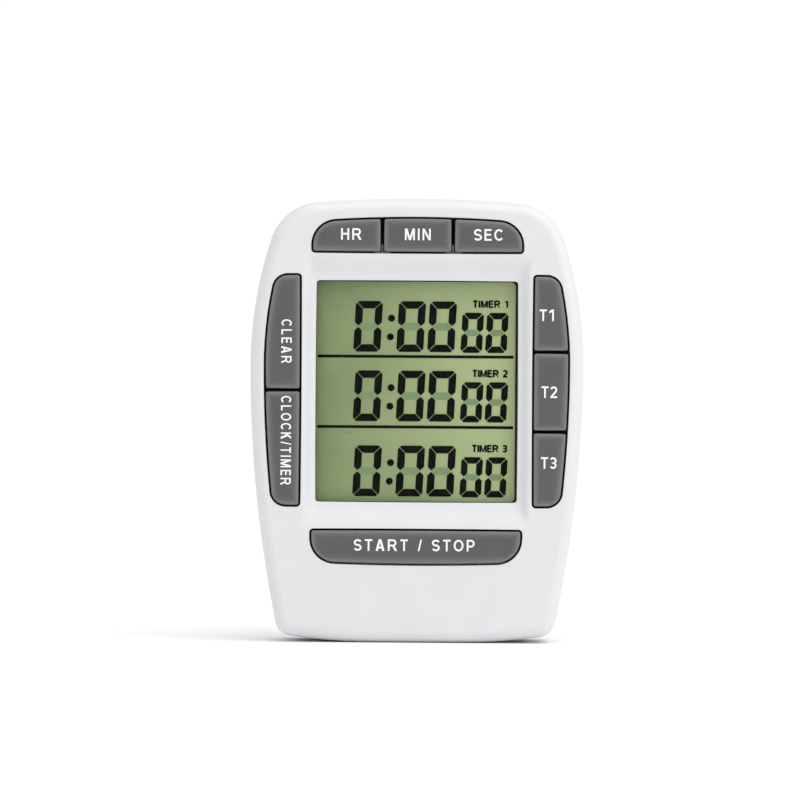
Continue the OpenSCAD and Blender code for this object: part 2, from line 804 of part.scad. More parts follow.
row_in = top_split_x + half_split;
module min_key() {
    color("dimgray") row_key(min_outline, ledge_end - row_in + split_gap, row_in - split_gap - ledge_end);
}

module sec_key() {
    color("dimgray") row_key(sec_outline, row_in + ledge_end, row_half_w - ledge_round_end);
}

module hr_key() {
    mirror([1, 0, 0]) sec_key();
}

module t1_key() {
    color("dimgray") side_key(t1_outline, right_split_high_z + ledge_end, side_high_z - ledge_round_end);
}

module t2_key() {
    color("dimgray") side_key(t2_outline, right_split_low_z + ledge_end, right_split_high_z - ledge_end);
}

module t3_key() {
    color("dimgray") side_key(t3_outline, side_low_z + ledge_round_end, right_split_low_z - ledge_end);
}

module clear_key() {
    color("dimgray") mirror([1, 0, 0])
        side_key(clear_outline, left_split_z + ledge_end, side_high_z - ledge_round_end);
}

module clock_timer_key() {
    color("dimgray") mirror([1, 0, 0])
        side_key(clock_outline, side_low_z + ledge_round_end, left_split_z - ledge_end);
}

module start_stop_key() {
    color("dimgray") {
        key_body(start_outline);
        ledge(ledge_round_end - row_half_w, row_half_w - ledge_round_end,
            start_low_z - ledge_w, start_high_z + ledge_w);
    }
}

module hr_plunger() { color("gray") plunger([-row_outer_x, row_mid_z]); }
module min_plunger() { color("gray") plunger([0, row_mid_z]); }
module sec_plunger() { color("gray") plunger([row_outer_x, row_mid_z]); }
module clear_plunger() { color("gray") plunger([-side_mid_x, clear_z]); }
module clock_timer_plunger() { color("gray") plunger([-side_mid_x, clock_z]); }
module t1_plunger() { color("gray") plunger([side_mid_x, t1_z]); }
module t2_plunger() { color("gray") plunger([side_mid_x, t2_z]); }
module t3_plunger() { color("gray") plunger([side_mid_x, t3_z]); }
module start_stop_plunger() { color("gray") both_sides() plunger([start_plunger_x, start_z]); }

front_cover();
rear_cover();
display_lens();
lcd_gasket();
lcd_front_polariser();
lcd_front_glass();
lcd_rear_glass();
lcd_reflector();
zebra_strips();
keypad_mat();
main_board();
chip_cover();
crystal_can();
chip_capacitors();
chip_resistors();
buzzer_plate();
buzzer_ceramic();
buzzer_lead_a();
buzzer_lead_b();
battery_cell();
battery_positive_contact();
battery_negative_spring();
battery_lead_red();
battery_lead_black();
board_screws();
case_screws();
magnets();
stand();
battery_door();
hr_key();
min_key();
sec_key();
clear_key();
clock_timer_key();
t1_key();
t2_key();
t3_key();
start_stop_key();
hr_plunger();
min_plunger();
sec_plunger();
clear_plunger();
clock_timer_plunger();
t1_plunger();
t2_plunger();
t3_plunger();
start_stop_plunger();
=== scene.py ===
"""Looks of a three-channel lab timer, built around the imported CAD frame.

Lengths in the tables and functions are millimetres in the CAD frame: X is width, -Y is the front,
+Z is up. link_mesh() turns them into Blender's metres.
"""
from math import atan2, cos, degrees, dist, pi, radians, sin, sqrt, tan

import bmesh
import bpy
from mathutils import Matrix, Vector
from mathutils.bvhtree import BVHTree


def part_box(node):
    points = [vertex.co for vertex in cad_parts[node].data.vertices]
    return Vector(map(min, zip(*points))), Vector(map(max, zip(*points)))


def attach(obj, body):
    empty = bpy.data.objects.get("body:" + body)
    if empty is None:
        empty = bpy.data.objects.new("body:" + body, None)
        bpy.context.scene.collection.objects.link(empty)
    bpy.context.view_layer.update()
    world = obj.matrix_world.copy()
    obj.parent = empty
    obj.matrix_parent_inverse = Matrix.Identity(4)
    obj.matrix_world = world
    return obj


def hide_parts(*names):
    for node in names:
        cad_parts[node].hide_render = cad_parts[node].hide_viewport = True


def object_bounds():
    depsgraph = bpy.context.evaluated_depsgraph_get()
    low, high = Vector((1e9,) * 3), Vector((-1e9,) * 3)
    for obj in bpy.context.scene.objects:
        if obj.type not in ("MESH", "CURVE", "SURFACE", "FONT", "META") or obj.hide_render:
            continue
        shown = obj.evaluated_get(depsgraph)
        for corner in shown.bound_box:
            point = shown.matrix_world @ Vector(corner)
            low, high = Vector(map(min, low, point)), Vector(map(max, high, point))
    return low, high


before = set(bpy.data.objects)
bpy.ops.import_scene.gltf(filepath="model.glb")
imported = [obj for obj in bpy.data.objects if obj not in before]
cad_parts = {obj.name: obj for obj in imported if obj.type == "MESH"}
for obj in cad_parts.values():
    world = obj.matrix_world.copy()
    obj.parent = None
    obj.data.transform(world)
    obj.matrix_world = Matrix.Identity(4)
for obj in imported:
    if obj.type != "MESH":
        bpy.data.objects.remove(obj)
cad_low, cad_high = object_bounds()

MM = 0.001


def node_box(node):
    """Lowest and highest corner of a CAD node, in millimetres."""
    low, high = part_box(node)
    return low / MM, high / MM


# ---- dimensions, from the frame where a CAD node shows them

case_low, case_high = node_box("front_cover")
rear_high = node_box("rear_cover")[1]
lens_low, lens_high = node_box("display_lens")
case_h = case_high.z
half_w = case_high.x
face_y = case_low.y
seam_y = case_high.y
back_y = rear_high.y
key_face_y = cad_low.y / MM
inner_y = lens_low.y
rear_inner_y = back_y - 1.8     # the back wall is 1.8 thick
side_wall = 2.0
front_edge, front_edge_depth = 2.5, 3.0
rear_edge, rear_edge_depth = 1.5, 2.0
seam_groove = 0.18

# Arcs of the case outline, as (centre, radius)
WIDEST_Z = 55.0
LOW_SIDE = ((half_w - 250, WIDEST_Z), 250.0)
HIGH_SIDE = ((half_w - 80, WIDEST_Z), 80.0)
TOP = ((0.0, case_h - 255), 255.0)
FOOT = ((8.0, 120.0), 120.0)
TOP_CORNER_R = 10.5
FOOT_CORNER_R = 3.5

# Window and the sunk panel around it
WINDOW_Z = 49.75
WINDOW_HALF = (20.05, 22.0)
WINDOW_R = 0.65
PANEL_DEPTH = 1.6
PANEL = (-22.4, 22.4, 22.9, 76.9)
PANEL_R = 1.2
PANEL_EASE = 0.55           # 0 makes the panel's slope straight, 1 the softest

# Key groups
KEY_GAP = 0.4               # between a key and the case
HALF_SPLIT = 0.2            # half the gap between two keys
ROW_HALF_W = 20.8
ROW_Z = 77.4                # lower edge of the top row
ROW_TOP_INSET = 4.1         # from the case's top edge
START_TOP_Z = 22.2
START_BOTTOM = ((0.0, 15.7 + 500), 500.0)
TOP_SPLIT_X = 7.0
SIDE_IN_X = 23.2
SIDE_INSET = 3.1
SIDE_LOW_Z, SIDE_HIGH_Z = 27.1, 72.7
LEFT_SPLIT_Z = 49.9
RIGHT_LOW_SPLIT_Z, RIGHT_HIGH_SPLIT_Z = 41.9, 57.7
ROW_CORNER_R, SIDE_CORNER_R, SMALL_R = 4.7, 2.8, 0.4
STRAIGHT_R = 3000.0         # radius of the arcs that stand in for straight sides


# ---- outlines
# An outline is a list of (x, z) points, counterclockwise as seen from the front.

def arc(centre, r, a, b, count):
    """Points on an arc from angle a to angle b in degrees, without the last one."""
    angles = [radians(a + (b - a) * i / count) for i in range(count)]
    return [(centre[0] + r * cos(t), centre[1] + r * sin(t)) for t in angles]


def bearing(start, end):
    """Direction from one point to another, in degrees."""
    return degrees(atan2(end[1] - start[1], end[0] - start[0]))


def after(a, b):
    """Angle b, turned by whole turns until it comes after angle a."""
    return a + (b - a) % 360


def meet(c1, r1, c2, r2):
    """Where two circles cross, on the left of the way from the first centre to the second."""
    start, way = Vector(c1), Vector(c2) - Vector(c1)
    d = way.length
    u = way / d
    along = (r1 * r1 - r2 * r2 + d * d) / (2 * d)
    return start + along * u + sqrt(r1 * r1 - along * along) * Vector((-u.y, u.x))


def arcs_outline(sides, radii, inset=0.0, side_count=10, corner_count=12):
    """Outline inside a ring of big arcs, with a round where each meets the next, counterclockwise."""
    n = len(sides)
    corners = [meet(sides[i][0], sides[i][1] - radii[i],
                    sides[(i + 1) % n][0], sides[(i + 1) % n][1] - radii[i]) for i in range(n)]
    points = []
    for i, (centre, r) in enumerate(sides):
        a0 = bearing(centre, corners[i - 1])
        a1 = after(a0, bearing(centre, corners[i]))
        b1 = after(a1, bearing(sides[(i + 1) % n][0], corners[i]))
        points += arc(centre, r - inset, a0, a1, side_count)
        points += arc(corners[i], radii[i] - inset, a1, b1, corner_count)
    return points


def right_at(x):
    """A nearly straight side, as a very big arc; the three below are its left, top and bottom."""
    return ((x - STRAIGHT_R, WINDOW_Z), STRAIGHT_R)


def left_at(x):
    return ((x + STRAIGHT_R, WINDOW_Z), STRAIGHT_R)


def top_at(z):
    return ((0.0, z - STRAIGHT_R), STRAIGHT_R)


def bottom_at(z):
    return ((0.0, z + STRAIGHT_R), STRAIGHT_R)


def inset_side(side, inset):
    return (side[0], side[1] - inset)


def rect_outline(x0, x1, z0, z1, r, inset=0.0):
    """Rectangle of nearly straight sides, for the window and the panel around it."""
    sides = [right_at(x1), top_at(z1), left_at(x0), bottom_at(z0)]
    return arcs_outline(sides, [r] * 4, inset, side_count=8, corner_count=10)


def straight_outline(x0, x1, z0, z1, r, inset=0.0, count=8):
    """Rectangle with round corners, moved inwards by inset."""
    points = []
    corners = ((x1 - r, z0 + r, -90), (x1 - r, z1 - r, 0), (x0 + r, z1 - r, 90), (x0 + r, z0 + r, 180))
    for cx, cz, a in corners:
        points += arc((cx, cz), r - inset, a, a + 90, count)
        points.append(arc((cx, cz), r - inset, a + 90, a + 180, 1)[0])
    return points


def case_outline(inset):
    """Outline of the case, moved inwards by inset, counterclockwise from the foot's middle."""
    high = meet(HIGH_SIDE[0], HIGH_SIDE[1] - TOP_CORNER_R, TOP[0], TOP[1] - TOP_CORNER_R)
    low = meet(FOOT[0], FOOT[1] - FOOT_CORNER_R, LOW_SIDE[0], LOW_SIDE[1] - FOOT_CORNER_R)
    foot_end, side_start = bearing(FOOT[0], low), bearing(LOW_SIDE[0], low)
    side_end, top_start = bearing(HIGH_SIDE[0], high), bearing(TOP[0], high)
    right = [(0.0, inset)]
    right += arc(FOOT[0], FOOT[1] - inset, -90, foot_end, 14)
    right += arc(low, FOOT_CORNER_R - inset, foot_end, side_start, 20)
    right += arc(LOW_SIDE[0], LOW_SIDE[1] - inset, side_start, 0, 24)
    right += arc(HIGH_SIDE[0], HIGH_SIDE[1] - inset, 0, side_end, 20)
    right += arc(high, TOP_CORNER_R - inset, side_end, top_start, 28)
    right += arc(TOP[0], TOP[1] - inset, top_start, 90, 14)
    middle_top = (0.0, TOP[0][1] + TOP[1] - inset)
    return right + [middle_top] + [(-x, z) for x, z in reversed(right[1:])]


def quarter(steps):
    """Steps round a quarter circle, as shares of its radius: how far in from the side, how far along."""
    angles = [radians(90 * i / steps) for i in range(steps + 1)]
    return [(1 - sin(a), 1 - cos(a)) for a in angles]


# ---- meshes

def show(obj):
    bpy.context.scene.collection.objects.link(obj)
    return obj


def link_mesh(name, points, faces):
    """A mesh object from points in millimetres."""
    mesh = bpy.data.meshes.new(name)
    mesh.from_pydata([[c * MM for c in p] for p in points], [], faces)
    mesh.validate()
    return show(bpy.data.objects.new(name, mesh))


def ring_at(outline, y):
    """The outline's points in space, at depth y."""
    return [(x, y, z) for x, z in outline]


def loft(name, rings):
    """Closed skin over rings of points that run from front to back."""
    n, last = len(rings[0]), len(rings) - 1
    points = [p for ring in rings for p in ring]
    faces = [list(range(n - 1, -1, -1)), [last * n + j for j in range(n)]]
    for i in range(last):
        for j in range(n):
            a, b = i * n + j, i * n + (j + 1) % n
            faces.append([a, b, b + n, a + n])
    obj = link_mesh(name, points, faces)
    fix_normals(obj)
    return obj


def fix_normals(obj):
    """Turns every face outwards."""
    bm = bmesh.new()
    bm.from_mesh(obj.data)
    bmesh.ops.recalc_face_normals(bm, faces=bm.faces)
    bm.to_mesh(obj.data)
    bm.free()


def slab(outline, y0, y1, name="cutter"):
    """Flat solid with one outline, from depth y0 to depth y1."""
    return loft(name, [ring_at(outline, y0), ring_at(outline, y1)])


def box(x0, x1, y0, y1, z0, z1):
    return slab([(x0, z0), (x1, z0), (x1, z1), (x0, z1)], y0, y1)


def circle(centre, r, count=64):
    return arc(centre, r, 0, 360, count)


def turned_y(at, profile, count=64):
    """Solid turned about an axis along Y at [x, z]; profile is [(radius, y), ...] from front to back."""
    return loft("cutter", [ring_at(circle(at, r, count), y) for r, y in profile])


def turned_x(at, profile, count=48):
    """Solid turned about an axis along X at [y, z]; profile is [(radius, x), ...]."""
    return loft("cutter", [[(x, py, pz) for py, pz in circle(at, r, count)] for r, x in profile])


def rod_y(at, r, y0, y1):
    return turned_y(at, [(r, y0), (r, y1)])


def rod_x(at, r, x0, x1):
    return turned_x(at, [(r, x0), (r, x1)])


def mirrored(obj):
    """A copy of obj, mirrored in X."""
    copy = obj.copy()
    copy.data = obj.data.copy()
    show(copy)
    for v in copy.data.vertices:
        v.co.x = -v.co.x
    copy.data.flip_normals()
    return copy


def boolean(obj, operation, others):
    """Cuts others out of obj, or joins them to it, and removes them."""
    group = bpy.data.collections.new("operands")
    for other in others:
        bpy.context.scene.collection.objects.unlink(other)
        group.objects.link(other)
    modifier = obj.modifiers.new("boolean", "BOOLEAN")
    modifier.operation = operation
    modifier.operand_type = "COLLECTION"
    modifier.collection = group
    modifier.solver = "EXACT"
    apply_modifiers(obj)
    for other in others:
        bpy.data.objects.remove(other)
    bpy.data.collections.remove(group)


def cut(obj, *cutters):
    boolean(obj, "DIFFERENCE", cutters)


def unite(obj, *others):
    boolean(obj, "UNION", others)


def apply_modifiers(obj):
    bpy.context.view_layer.update()
    evaluated = obj.evaluated_get(bpy.context.evaluated_depsgraph_get())
    mesh = bpy.data.meshes.new_from_object(evaluated)
    obj.modifiers.clear()
    obj.data = mesh


def soften(obj, width, segments):
    """Rounds the sharp edges of a solid."""
    modifier = obj.modifiers.new("bevel", "BEVEL")
    modifier.width = width * MM
    modifier.segments = segments
    modifier.limit_method = "ANGLE"
    modifier.angle_limit = radians(40)
    apply_modifiers(obj)


MERGE_MM = 0.002            # points nearer than this become one


def finish_piece(obj, name, material, body, replaces=(), sharp_angle=32):
    """Cleans the mesh, shades it smooth between sharp edges and ties it to its body."""
    bm = bmesh.new()
    bm.from_mesh(obj.data)
    bmesh.ops.remove_doubles(bm, verts=bm.verts, dist=MERGE_MM * MM)
    bmesh.ops.dissolve_degenerate(bm, edges=bm.edges, dist=MERGE_MM * MM)
    bmesh.ops.delete(bm, geom=[edge for edge in bm.edges if not edge.link_faces], context="EDGES")
    for face in bm.faces:
        face.smooth = True
    for edge in bm.edges:
        edge.smooth = len(edge.link_faces) == 2 and edge.calc_face_angle(0) < radians(sharp_angle)
    bm.to_mesh(obj.data)
    bm.free()
    weighted = obj.modifiers.new("weighted normals", "WEIGHTED_NORMAL")
    weighted.keep_sharp = True
    weighted.weight = 90
    obj.name = name
    obj.data.name = name
    obj.data.materials.clear()
    obj.data.materials.append(material)
    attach(obj, body)
    if replaces:
        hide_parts(*replaces)
    return obj


# ---- materials

def linear(r, g, b):
    """Linear colour of an 8-bit display colour."""
    return tuple(((c / 255 + 0.055) / 1.055) ** 2.4 if c > 10 else c / 255 / 12.92 for c in (r, g, b))


def set_inputs(node, **values):
    """Sets a node's sockets; an underscore in a name stands for a space."""
    for socket, value in values.items():
        node.inputs[socket.replace("_", " ")].default_value = value


def new_node(tree, kind, **values):
    node = tree.nodes.new("ShaderNode" + kind)
    set_inputs(node, **values)
    return node


def wire(tree, *ends):
    """Links a socket to a socket, and so on; each end is (node, socket name)."""
    for (giver, output), (taker, socket) in zip(ends[::2], ends[1::2]):
        tree.links.new(giver.outputs[output], taker.inputs[socket])


def principled(name, color, roughness, metallic=0.0, alpha=1.0, coat=0.0, specular=0.5):
    """A material with plain values on the shader's own sockets, and its shader."""
    material = bpy.data.materials.new(name)
    material.use_nodes = True
    shader = material.node_tree.nodes["Principled BSDF"]
    set_inputs(shader, Base_Color=(*color, 1), Roughness=roughness, Metallic=metallic, Alpha=alpha,
               Coat_Weight=coat, IOR=1.46, Specular_IOR_Level=specular)
    return material, shader


def noise(tree, scale, detail=3.0, stretch=(1, 1, 1)):
    """Noise over the object's own coordinates, as (node, socket); scale is features per millimetre."""
    place = new_node(tree, "TexCoord")
    mapping = new_node(tree, "Mapping", Scale=[s * scale / MM for s in stretch])
    texture = new_node(tree, "TexNoise", Scale=1, Detail=detail)
    wire(tree, (place, "Object"), (mapping, "Vector"), (mapping, "Vector"), (texture, "Vector"))
    return texture, "Fac"


def two_tones(tree, tones, places=(0, 1)):
    """A colour ramp between two tones."""
    ramp = new_node(tree, "ValToRGB")
    for element, tone, place in zip(ramp.color_ramp.elements, tones, places):
        element.position = place
        element.color = (*tone, 1)
    return ramp


def vary_color(tree, shader, fac, color, amount):
    """Colour that wanders by a share of itself."""
    tones = [[min(1, c * (1 + sign * amount)) for c in color] for sign in (-1, 1)]
    ramp = two_tones(tree, tones, (0.3, 0.7))
    wire(tree, fac, (ramp, "Fac"), (ramp, "Color"), (shader, "Base Color"))


def vary_roughness(tree, shader, fac, low, high):
    """Roughness that wanders between two values."""
    spread = new_node(tree, "MapRange", From_Min=0.3, From_Max=0.7, To_Min=low, To_Max=high)
    wire(tree, fac, (spread, "Value"), (spread, "Result"), (shader, "Roughness"))


def add_bump(tree, shader, fac, strength, depth_mm):
    """Grain that shows in the light but not in the shape."""
    bump = new_node(tree, "Bump", Strength=strength, Distance=depth_mm * MM)
    wire(tree, fac, (bump, "Height"), (bump, "Normal"), (shader, "Normal"))


def surface(name, color, roughness, grain=6.0, vary=0.02, bump=0.15, depth=0.01, cloud=0.15,
            stretch=(1, 1, 1), rough_spread=0.06, **more):
    """A moulded or bare surface: fine grain in the bump and gloss, slow clouds in the colour."""
    material, shader = principled(name, color, roughness, **more)
    tree = material.node_tree
    vary_color(tree, shader, noise(tree, cloud, 2, stretch), color, vary)
    fine = noise(tree, grain, 3, stretch)
    vary_roughness(tree, shader, fine, roughness - rough_spread / 2, roughness + rough_spread / 2)
    add_bump(tree, shader, fine, bump, depth)
    return material


RIM_HIGHLIGHT = "rim_highlight"                 # point attribute for the painted rim highlight: 1 at a key's edge, 0 on its face
CASE_COLOR = linear(222, 222, 224)
# The second key tone is a painted highlight for the keys' rounded edges.
KEY_COLOR, KEY_RIM_HIGHLIGHT = linear(85, 83, 83), linear(116, 113, 112)
# Painted shading of the display: darker at its left, lighter at its right where the light comes from.
LCD_SHADED_LEFT, LCD_LIT_RIGHT = linear(102, 121, 77), linear(186, 203, 148)
LCD_SPAN = (-24, 20)        # where the painted shading goes from the display's darker left tone to its lighter right tone
INK_COLOR = linear(6, 7, 5)

white_plastic = surface("white_plastic", CASE_COLOR, 0.42, grain=5, vary=0.012, bump=0.12, depth=0.006)
back_plastic = surface("back_plastic", CASE_COLOR, 0.5, grain=3.5, vary=0.015, bump=0.4, depth=0.015)


def key_plastic_material():
    """Satin dark grey, with a painted highlight that makes the key's rounded edge lighter."""
    material, shader = principled("key_plastic", KEY_COLOR, 0.42, coat=0.1)
    tree = material.node_tree
    rim_highlight = new_node(tree, "Attribute")
    rim_highlight.attribute_name = RIM_HIGHLIGHT
    mix = new_node(tree, "Mix")
    mix.data_type = "RGBA"
    set_inputs(mix, B=(*KEY_RIM_HIGHLIGHT, 1))
    ramp = two_tones(tree, [[c * share for c in KEY_COLOR] for share in (0.93, 1.07)])
    wire(tree, noise(tree, 0.12, 2), (ramp, "Fac"), (ramp, "Color"), (mix, "A"),
         (rim_highlight, "Fac"), (mix, "Factor"), (mix, "Result"), (shader, "Base Color"))
    fine = noise(tree, 7)
    vary_roughness(tree, shader, fine, 0.38, 0.46)
    add_bump(tree, shader, fine, 0.2, 0.008)
    return material


key_plastic = key_plastic_material()
label_ink = surface("label_ink", linear(244, 245, 246), 0.5, grain=9, vary=0.02)
lcd_unlit = surface("lcd_unlit", linear(127, 150, 107), 0.55, grain=4, vary=0.03, specular=0.2)
foam = surface("foam", (0.02, 0.02, 0.02), 0.9, grain=3, vary=0.2, bump=0.6, depth=0.05)
lcd_ink = surface("lcd_ink", INK_COLOR, 0.6, grain=4, vary=0.08, cloud=0.4, specular=0.06)
ferrite = surface("ferrite", linear(62, 62, 64), 0.5, grain=3, vary=0.15, bump=0.3, depth=0.02)
steel = surface("screw_steel", (0.56, 0.56, 0.55), 0.3, metallic=1, grain=8, vary=0.08)
contact_steel = surface("contact_steel", (0.7, 0.7, 0.69), 0.25, metallic=1, grain=8, vary=0.05)
cell_sleeve = surface("cell_sleeve", linear(40, 74, 116), 0.3, grain=4, vary=0.05, coat=0.5)


def lcd_back_material():
    """Grey-green display with painted shading: darker at its left side and lighter at its right, where more
    light falls, with slow clouds and a fine sparkle.
    """
    material, shader = principled("lcd_back", LCD_SHADED_LEFT, 0.45, specular=0.3)
    tree = material.node_tree
    place, split = new_node(tree, "TexCoord"), new_node(tree, "SeparateXYZ")
    across = new_node(tree, "MapRange", From_Min=LCD_SPAN[0] * MM, From_Max=LCD_SPAN[1] * MM)
    mix = new_node(tree, "Mix", Factor=0.3)
    ramp = two_tones(tree, (LCD_SHADED_LEFT, LCD_LIT_RIGHT))
    wire(tree, (place, "Object"), (split, "Vector"), (split, "X"), (across, "Value"),
         (across, "Result"), (mix, "A"), noise(tree, 0.05, 2), (mix, "B"),
         (mix, "Result"), (ramp, "Fac"), (ramp, "Color"), (shader, "Base Color"))
    fine = noise(tree, 9, 2)
    vary_roughness(tree, shader, fine, 0.4, 0.55)
    add_bump(tree, shader, fine, 0.15, 0.01)
    return material


lcd_back = lcd_back_material()


# ---- case

def half_rings(end_y, edge, edge_depth, toward, steps=16):
    """Rings of one half of the case, from its flat end to the groove at the seam."""
    rings = [ring_at(case_outline(edge * side), end_y + toward * edge_depth * along)
             for side, along in quarter(steps)]
    rings.append(ring_at(case_outline(0), seam_y - toward * seam_groove))
    rings.append(ring_at(case_outline(seam_groove), seam_y))
    return rings


def flared_hole(outline_at, y_face, y_end, flare=0.25, steps=5):
    """Cutter for a hole with a rounded mouth; outline_at(inset) gives its outline."""
    toward = 1 if y_end > y_face else -1
    rings = [ring_at(outline_at(-flare), y_face - toward), ring_at(outline_at(-flare), y_face)]
    for side, along in quarter(steps)[1:]:
        rings.append(ring_at(outline_at(-flare * side), y_face + toward * flare * along))
    rings.append(ring_at(outline_at(0), y_end))
    return loft("cutter", rings)


def flared_bore(at, r, y_face, y_end, flare=0.2):
    """Cutter for a round hole with a rounded mouth."""
    return flared_hole(lambda inset: circle(at, r - inset), y_face, y_end, flare)


def both_sides(obj):
    """The solid and its mirror image."""
    return [obj, mirrored(obj)]


def key_sides():
    """Every key's sides and corner radii, by key name, and the groups' own outlines."""
    row_top, row_bottom = inset_side(TOP, ROW_TOP_INSET), bottom_at(ROW_Z)
    high, low = inset_side(HIGH_SIDE, SIDE_INSET), inset_side(LOW_SIDE, SIDE_INSET)
    edge = TOP_SPLIT_X + HALF_SPLIT
    big, side_big, small = ROW_CORNER_R, SIDE_CORNER_R, SMALL_R

    def side(z0, z1, arc_side, round_top, round_bottom):
        radii = [side_big if round_top else small, small, small, side_big if round_bottom else small]
        return [arc_side, top_at(z1), left_at(SIDE_IN_X), bottom_at(z0)], radii

    return {
        "hr": ([right_at(-edge), row_top, left_at(-ROW_HALF_W), row_bottom], [small, big, small, small]),
        "min": ([right_at(edge - 2 * HALF_SPLIT), row_top, left_at(2 * HALF_SPLIT - edge), row_bottom],
                [small] * 4),
        "sec": ([right_at(ROW_HALF_W), row_top, left_at(edge), row_bottom], [big, small, small, small]),
        "start_stop": ([right_at(ROW_HALF_W), top_at(START_TOP_Z), left_at(-ROW_HALF_W), START_BOTTOM],
                       [small, small, big, big]),
        "t1": side(RIGHT_HIGH_SPLIT_Z + HALF_SPLIT, SIDE_HIGH_Z, high, True, False),
        "t2": side(RIGHT_LOW_SPLIT_Z + HALF_SPLIT, RIGHT_HIGH_SPLIT_Z - HALF_SPLIT, low, False, False),
        "t3": side(SIDE_LOW_Z, RIGHT_LOW_SPLIT_Z - HALF_SPLIT, low, False, True),
        "clear": side(LEFT_SPLIT_Z + HALF_SPLIT, SIDE_HIGH_Z, high, True, False),
        "clock_timer": side(SIDE_LOW_Z, LEFT_SPLIT_Z - HALF_SPLIT, low, False, True),
        "row_group": ([right_at(ROW_HALF_W), row_top, left_at(-ROW_HALF_W), row_bottom],
                      [big, big, small, small]),
        "side_group_high": side(RIGHT_LOW_SPLIT_Z, SIDE_HIGH_Z, high, True, False),
        "side_group_low": side(SIDE_LOW_Z, RIGHT_HIGH_SPLIT_Z, low, False, True),
    }


KEYS = key_sides()
LEFT_KEYS = ("clear", "clock_timer")    # drawn at the right and mirrored
MOUTH_FLARE = 0.12          # how round the mouths of the front's openings are
SINK = 0.1                  # how far a joined solid or a cutter runs past the wall it meets


def group_hole(name):
    """Cutter for the opening that a group of keys shares."""
    sides, radii = KEYS[name]
    return flared_hole(lambda inset: arcs_outline(sides, radii, inset - KEY_GAP), face_y,
                       inner_y + SINK, MOUTH_FLARE)


def window_outline(inset=0.0):
    w, h = WINDOW_HALF
    return rect_outline(-w, w, WINDOW_Z - h, WINDOW_Z + h, WINDOW_R, inset)


def mixed(outline_a, outline_b, t):
    """Outline a share t of the way from the first to the second."""
    return [(a[0] + (b[0] - a[0]) * t, a[1] + (b[1] - a[1]) * t) for a, b in zip(outline_a, outline_b)]


def sunk_panel(steps=12, soft=0.12):
    """Cutter for the panel: its slope starts and ends softly."""
    wide, narrow = rect_outline(*PANEL, PANEL_R), window_outline()
    rings = [ring_at(mixed(wide, narrow, -soft), face_y - 1), ring_at(mixed(wide, narrow, -soft), face_y)]
    for i in range(1, steps + 1):
        t = i / steps
        spread = -soft + (1 + soft) * t
        depth = PANEL_DEPTH * (t - sin(2 * pi * t) / (2 * pi) * PANEL_EASE)
        rings.append(ring_at(mixed(wide, narrow, spread), face_y + depth))
    return loft("cutter", rings)


COVER_SCREWS = ((25.4, 77.6), (26.8, 21.8))
BOARD_SCREW = (23.7, 18.6)
BOSS_R, PILOT_R, BOSS_FLOOR = 2.4, 1.05, 1.5    # for the cover screws
POST_R, POST_PILOT_R, POST_FLOOR = 1.5, 0.65, 2.5   # for the board screws
BOSS_ROOT = 0.3             # how far a boss runs into the front wall
RIB_HALF_W, RIB_T, RIB_PLAY = 20, 1, 0.1    # ribs above and below the display
board_front_y = node_box("main_board")[0].y
polariser_y = node_box("lcd_front_polariser")[0].y
glass_back_y = node_box("lcd_front_glass")[1].y


def build_front():
    obj = loft("case_front", half_rings(face_y, front_edge, front_edge_depth, 1))
    cut(obj, slab(case_outline(side_wall), inner_y, seam_y + 1))
    cut(obj, sunk_panel())
    cut(obj, flared_hole(window_outline, face_y + PANEL_DEPTH, inner_y + SINK, MOUTH_FLARE))
    cut(obj, group_hole("row_group"), group_hole("start_stop"))
    for name in ("side_group_high", "side_group_low"):
        cut(obj, *both_sides(group_hole(name)))
    root_y = inner_y - BOSS_ROOT
    inside, bores = [], []
    for at in COVER_SCREWS:
        inside += both_sides(rod_y(at, BOSS_R, root_y, seam_y))
    inside += both_sides(rod_y(BOARD_SCREW, POST_R, root_y, board_front_y))
    for z in (lens_high.z + RIB_PLAY, lens_low.z - RIB_PLAY - RIB_T):
        inside.append(box(-RIB_HALF_W, RIB_HALF_W, root_y, glass_back_y, z, z + RIB_T))
    unite(obj, *inside)
    for at in COVER_SCREWS:
        bores += both_sides(rod_y(at, PILOT_R, inner_y + BOSS_FLOOR, seam_y + 1))
    bores += both_sides(rod_y(BOARD_SCREW, POST_PILOT_R, inner_y + POST_FLOOR, board_front_y + 1))
    cut(obj, *bores)
    finish_piece(obj, "case_front", white_plastic, "case", ["front_cover"])


# Places of the back's features
STAND_AXIS = (7.7, 66.0)
STAND_HALF_W, STAND_LOW_Z, STAND_IN_Y = 13.0, 18.5, 7.4
RECESS_HALF_W, RECESS_Z, RECESS_FLOOR_Y, BLOCK_IN_Y = 13.4, (18.0, 67.5), 7.2, 5.4
NOTCH_R = 5.0               # fingertip notch in the stand's free end
STAND_HINGE, DOOR_HINGE = (1.2, 1.0, 1.8), (0.9, 0.6, 1.3)  # barrel radius, pin radius, pin length
BARREL_PLAY, PIN_PLAY = 0.3, 0.05
BLOCK_WALL, BLOCK_TOP = 2.8, 2.0    # around the stand's recess, inside the case
DOOR_AXIS = (8.0, 15.4)
DOOR_HALF_W, DOOR_LOW_Z, DOOR_IN_Y = 24.4, 3.3, 7.5
DOOR_RECESS_HALF_W, DOOR_RECESS_Z, DOOR_STEP_Y = 24.6, (3.1, 16.6), 7.35
BAY_HALF_W, BAY_Y, BAY_Z = 24.7, (-3.4, 6.9), (3.6, 14.9)
BAY_MOUTH_HALF_W, BAY_MOUTH_Z = 23.2, (3.8, 14.7)
LEAD_SLOT = (23.35, 24.55, 3.6, 5.4)    # X and Y
BAY_OUT_HALF_W, BAY_OUT_Y, BAY_OUT_Z = 25.9, -4.2, (2.0, 16.1)
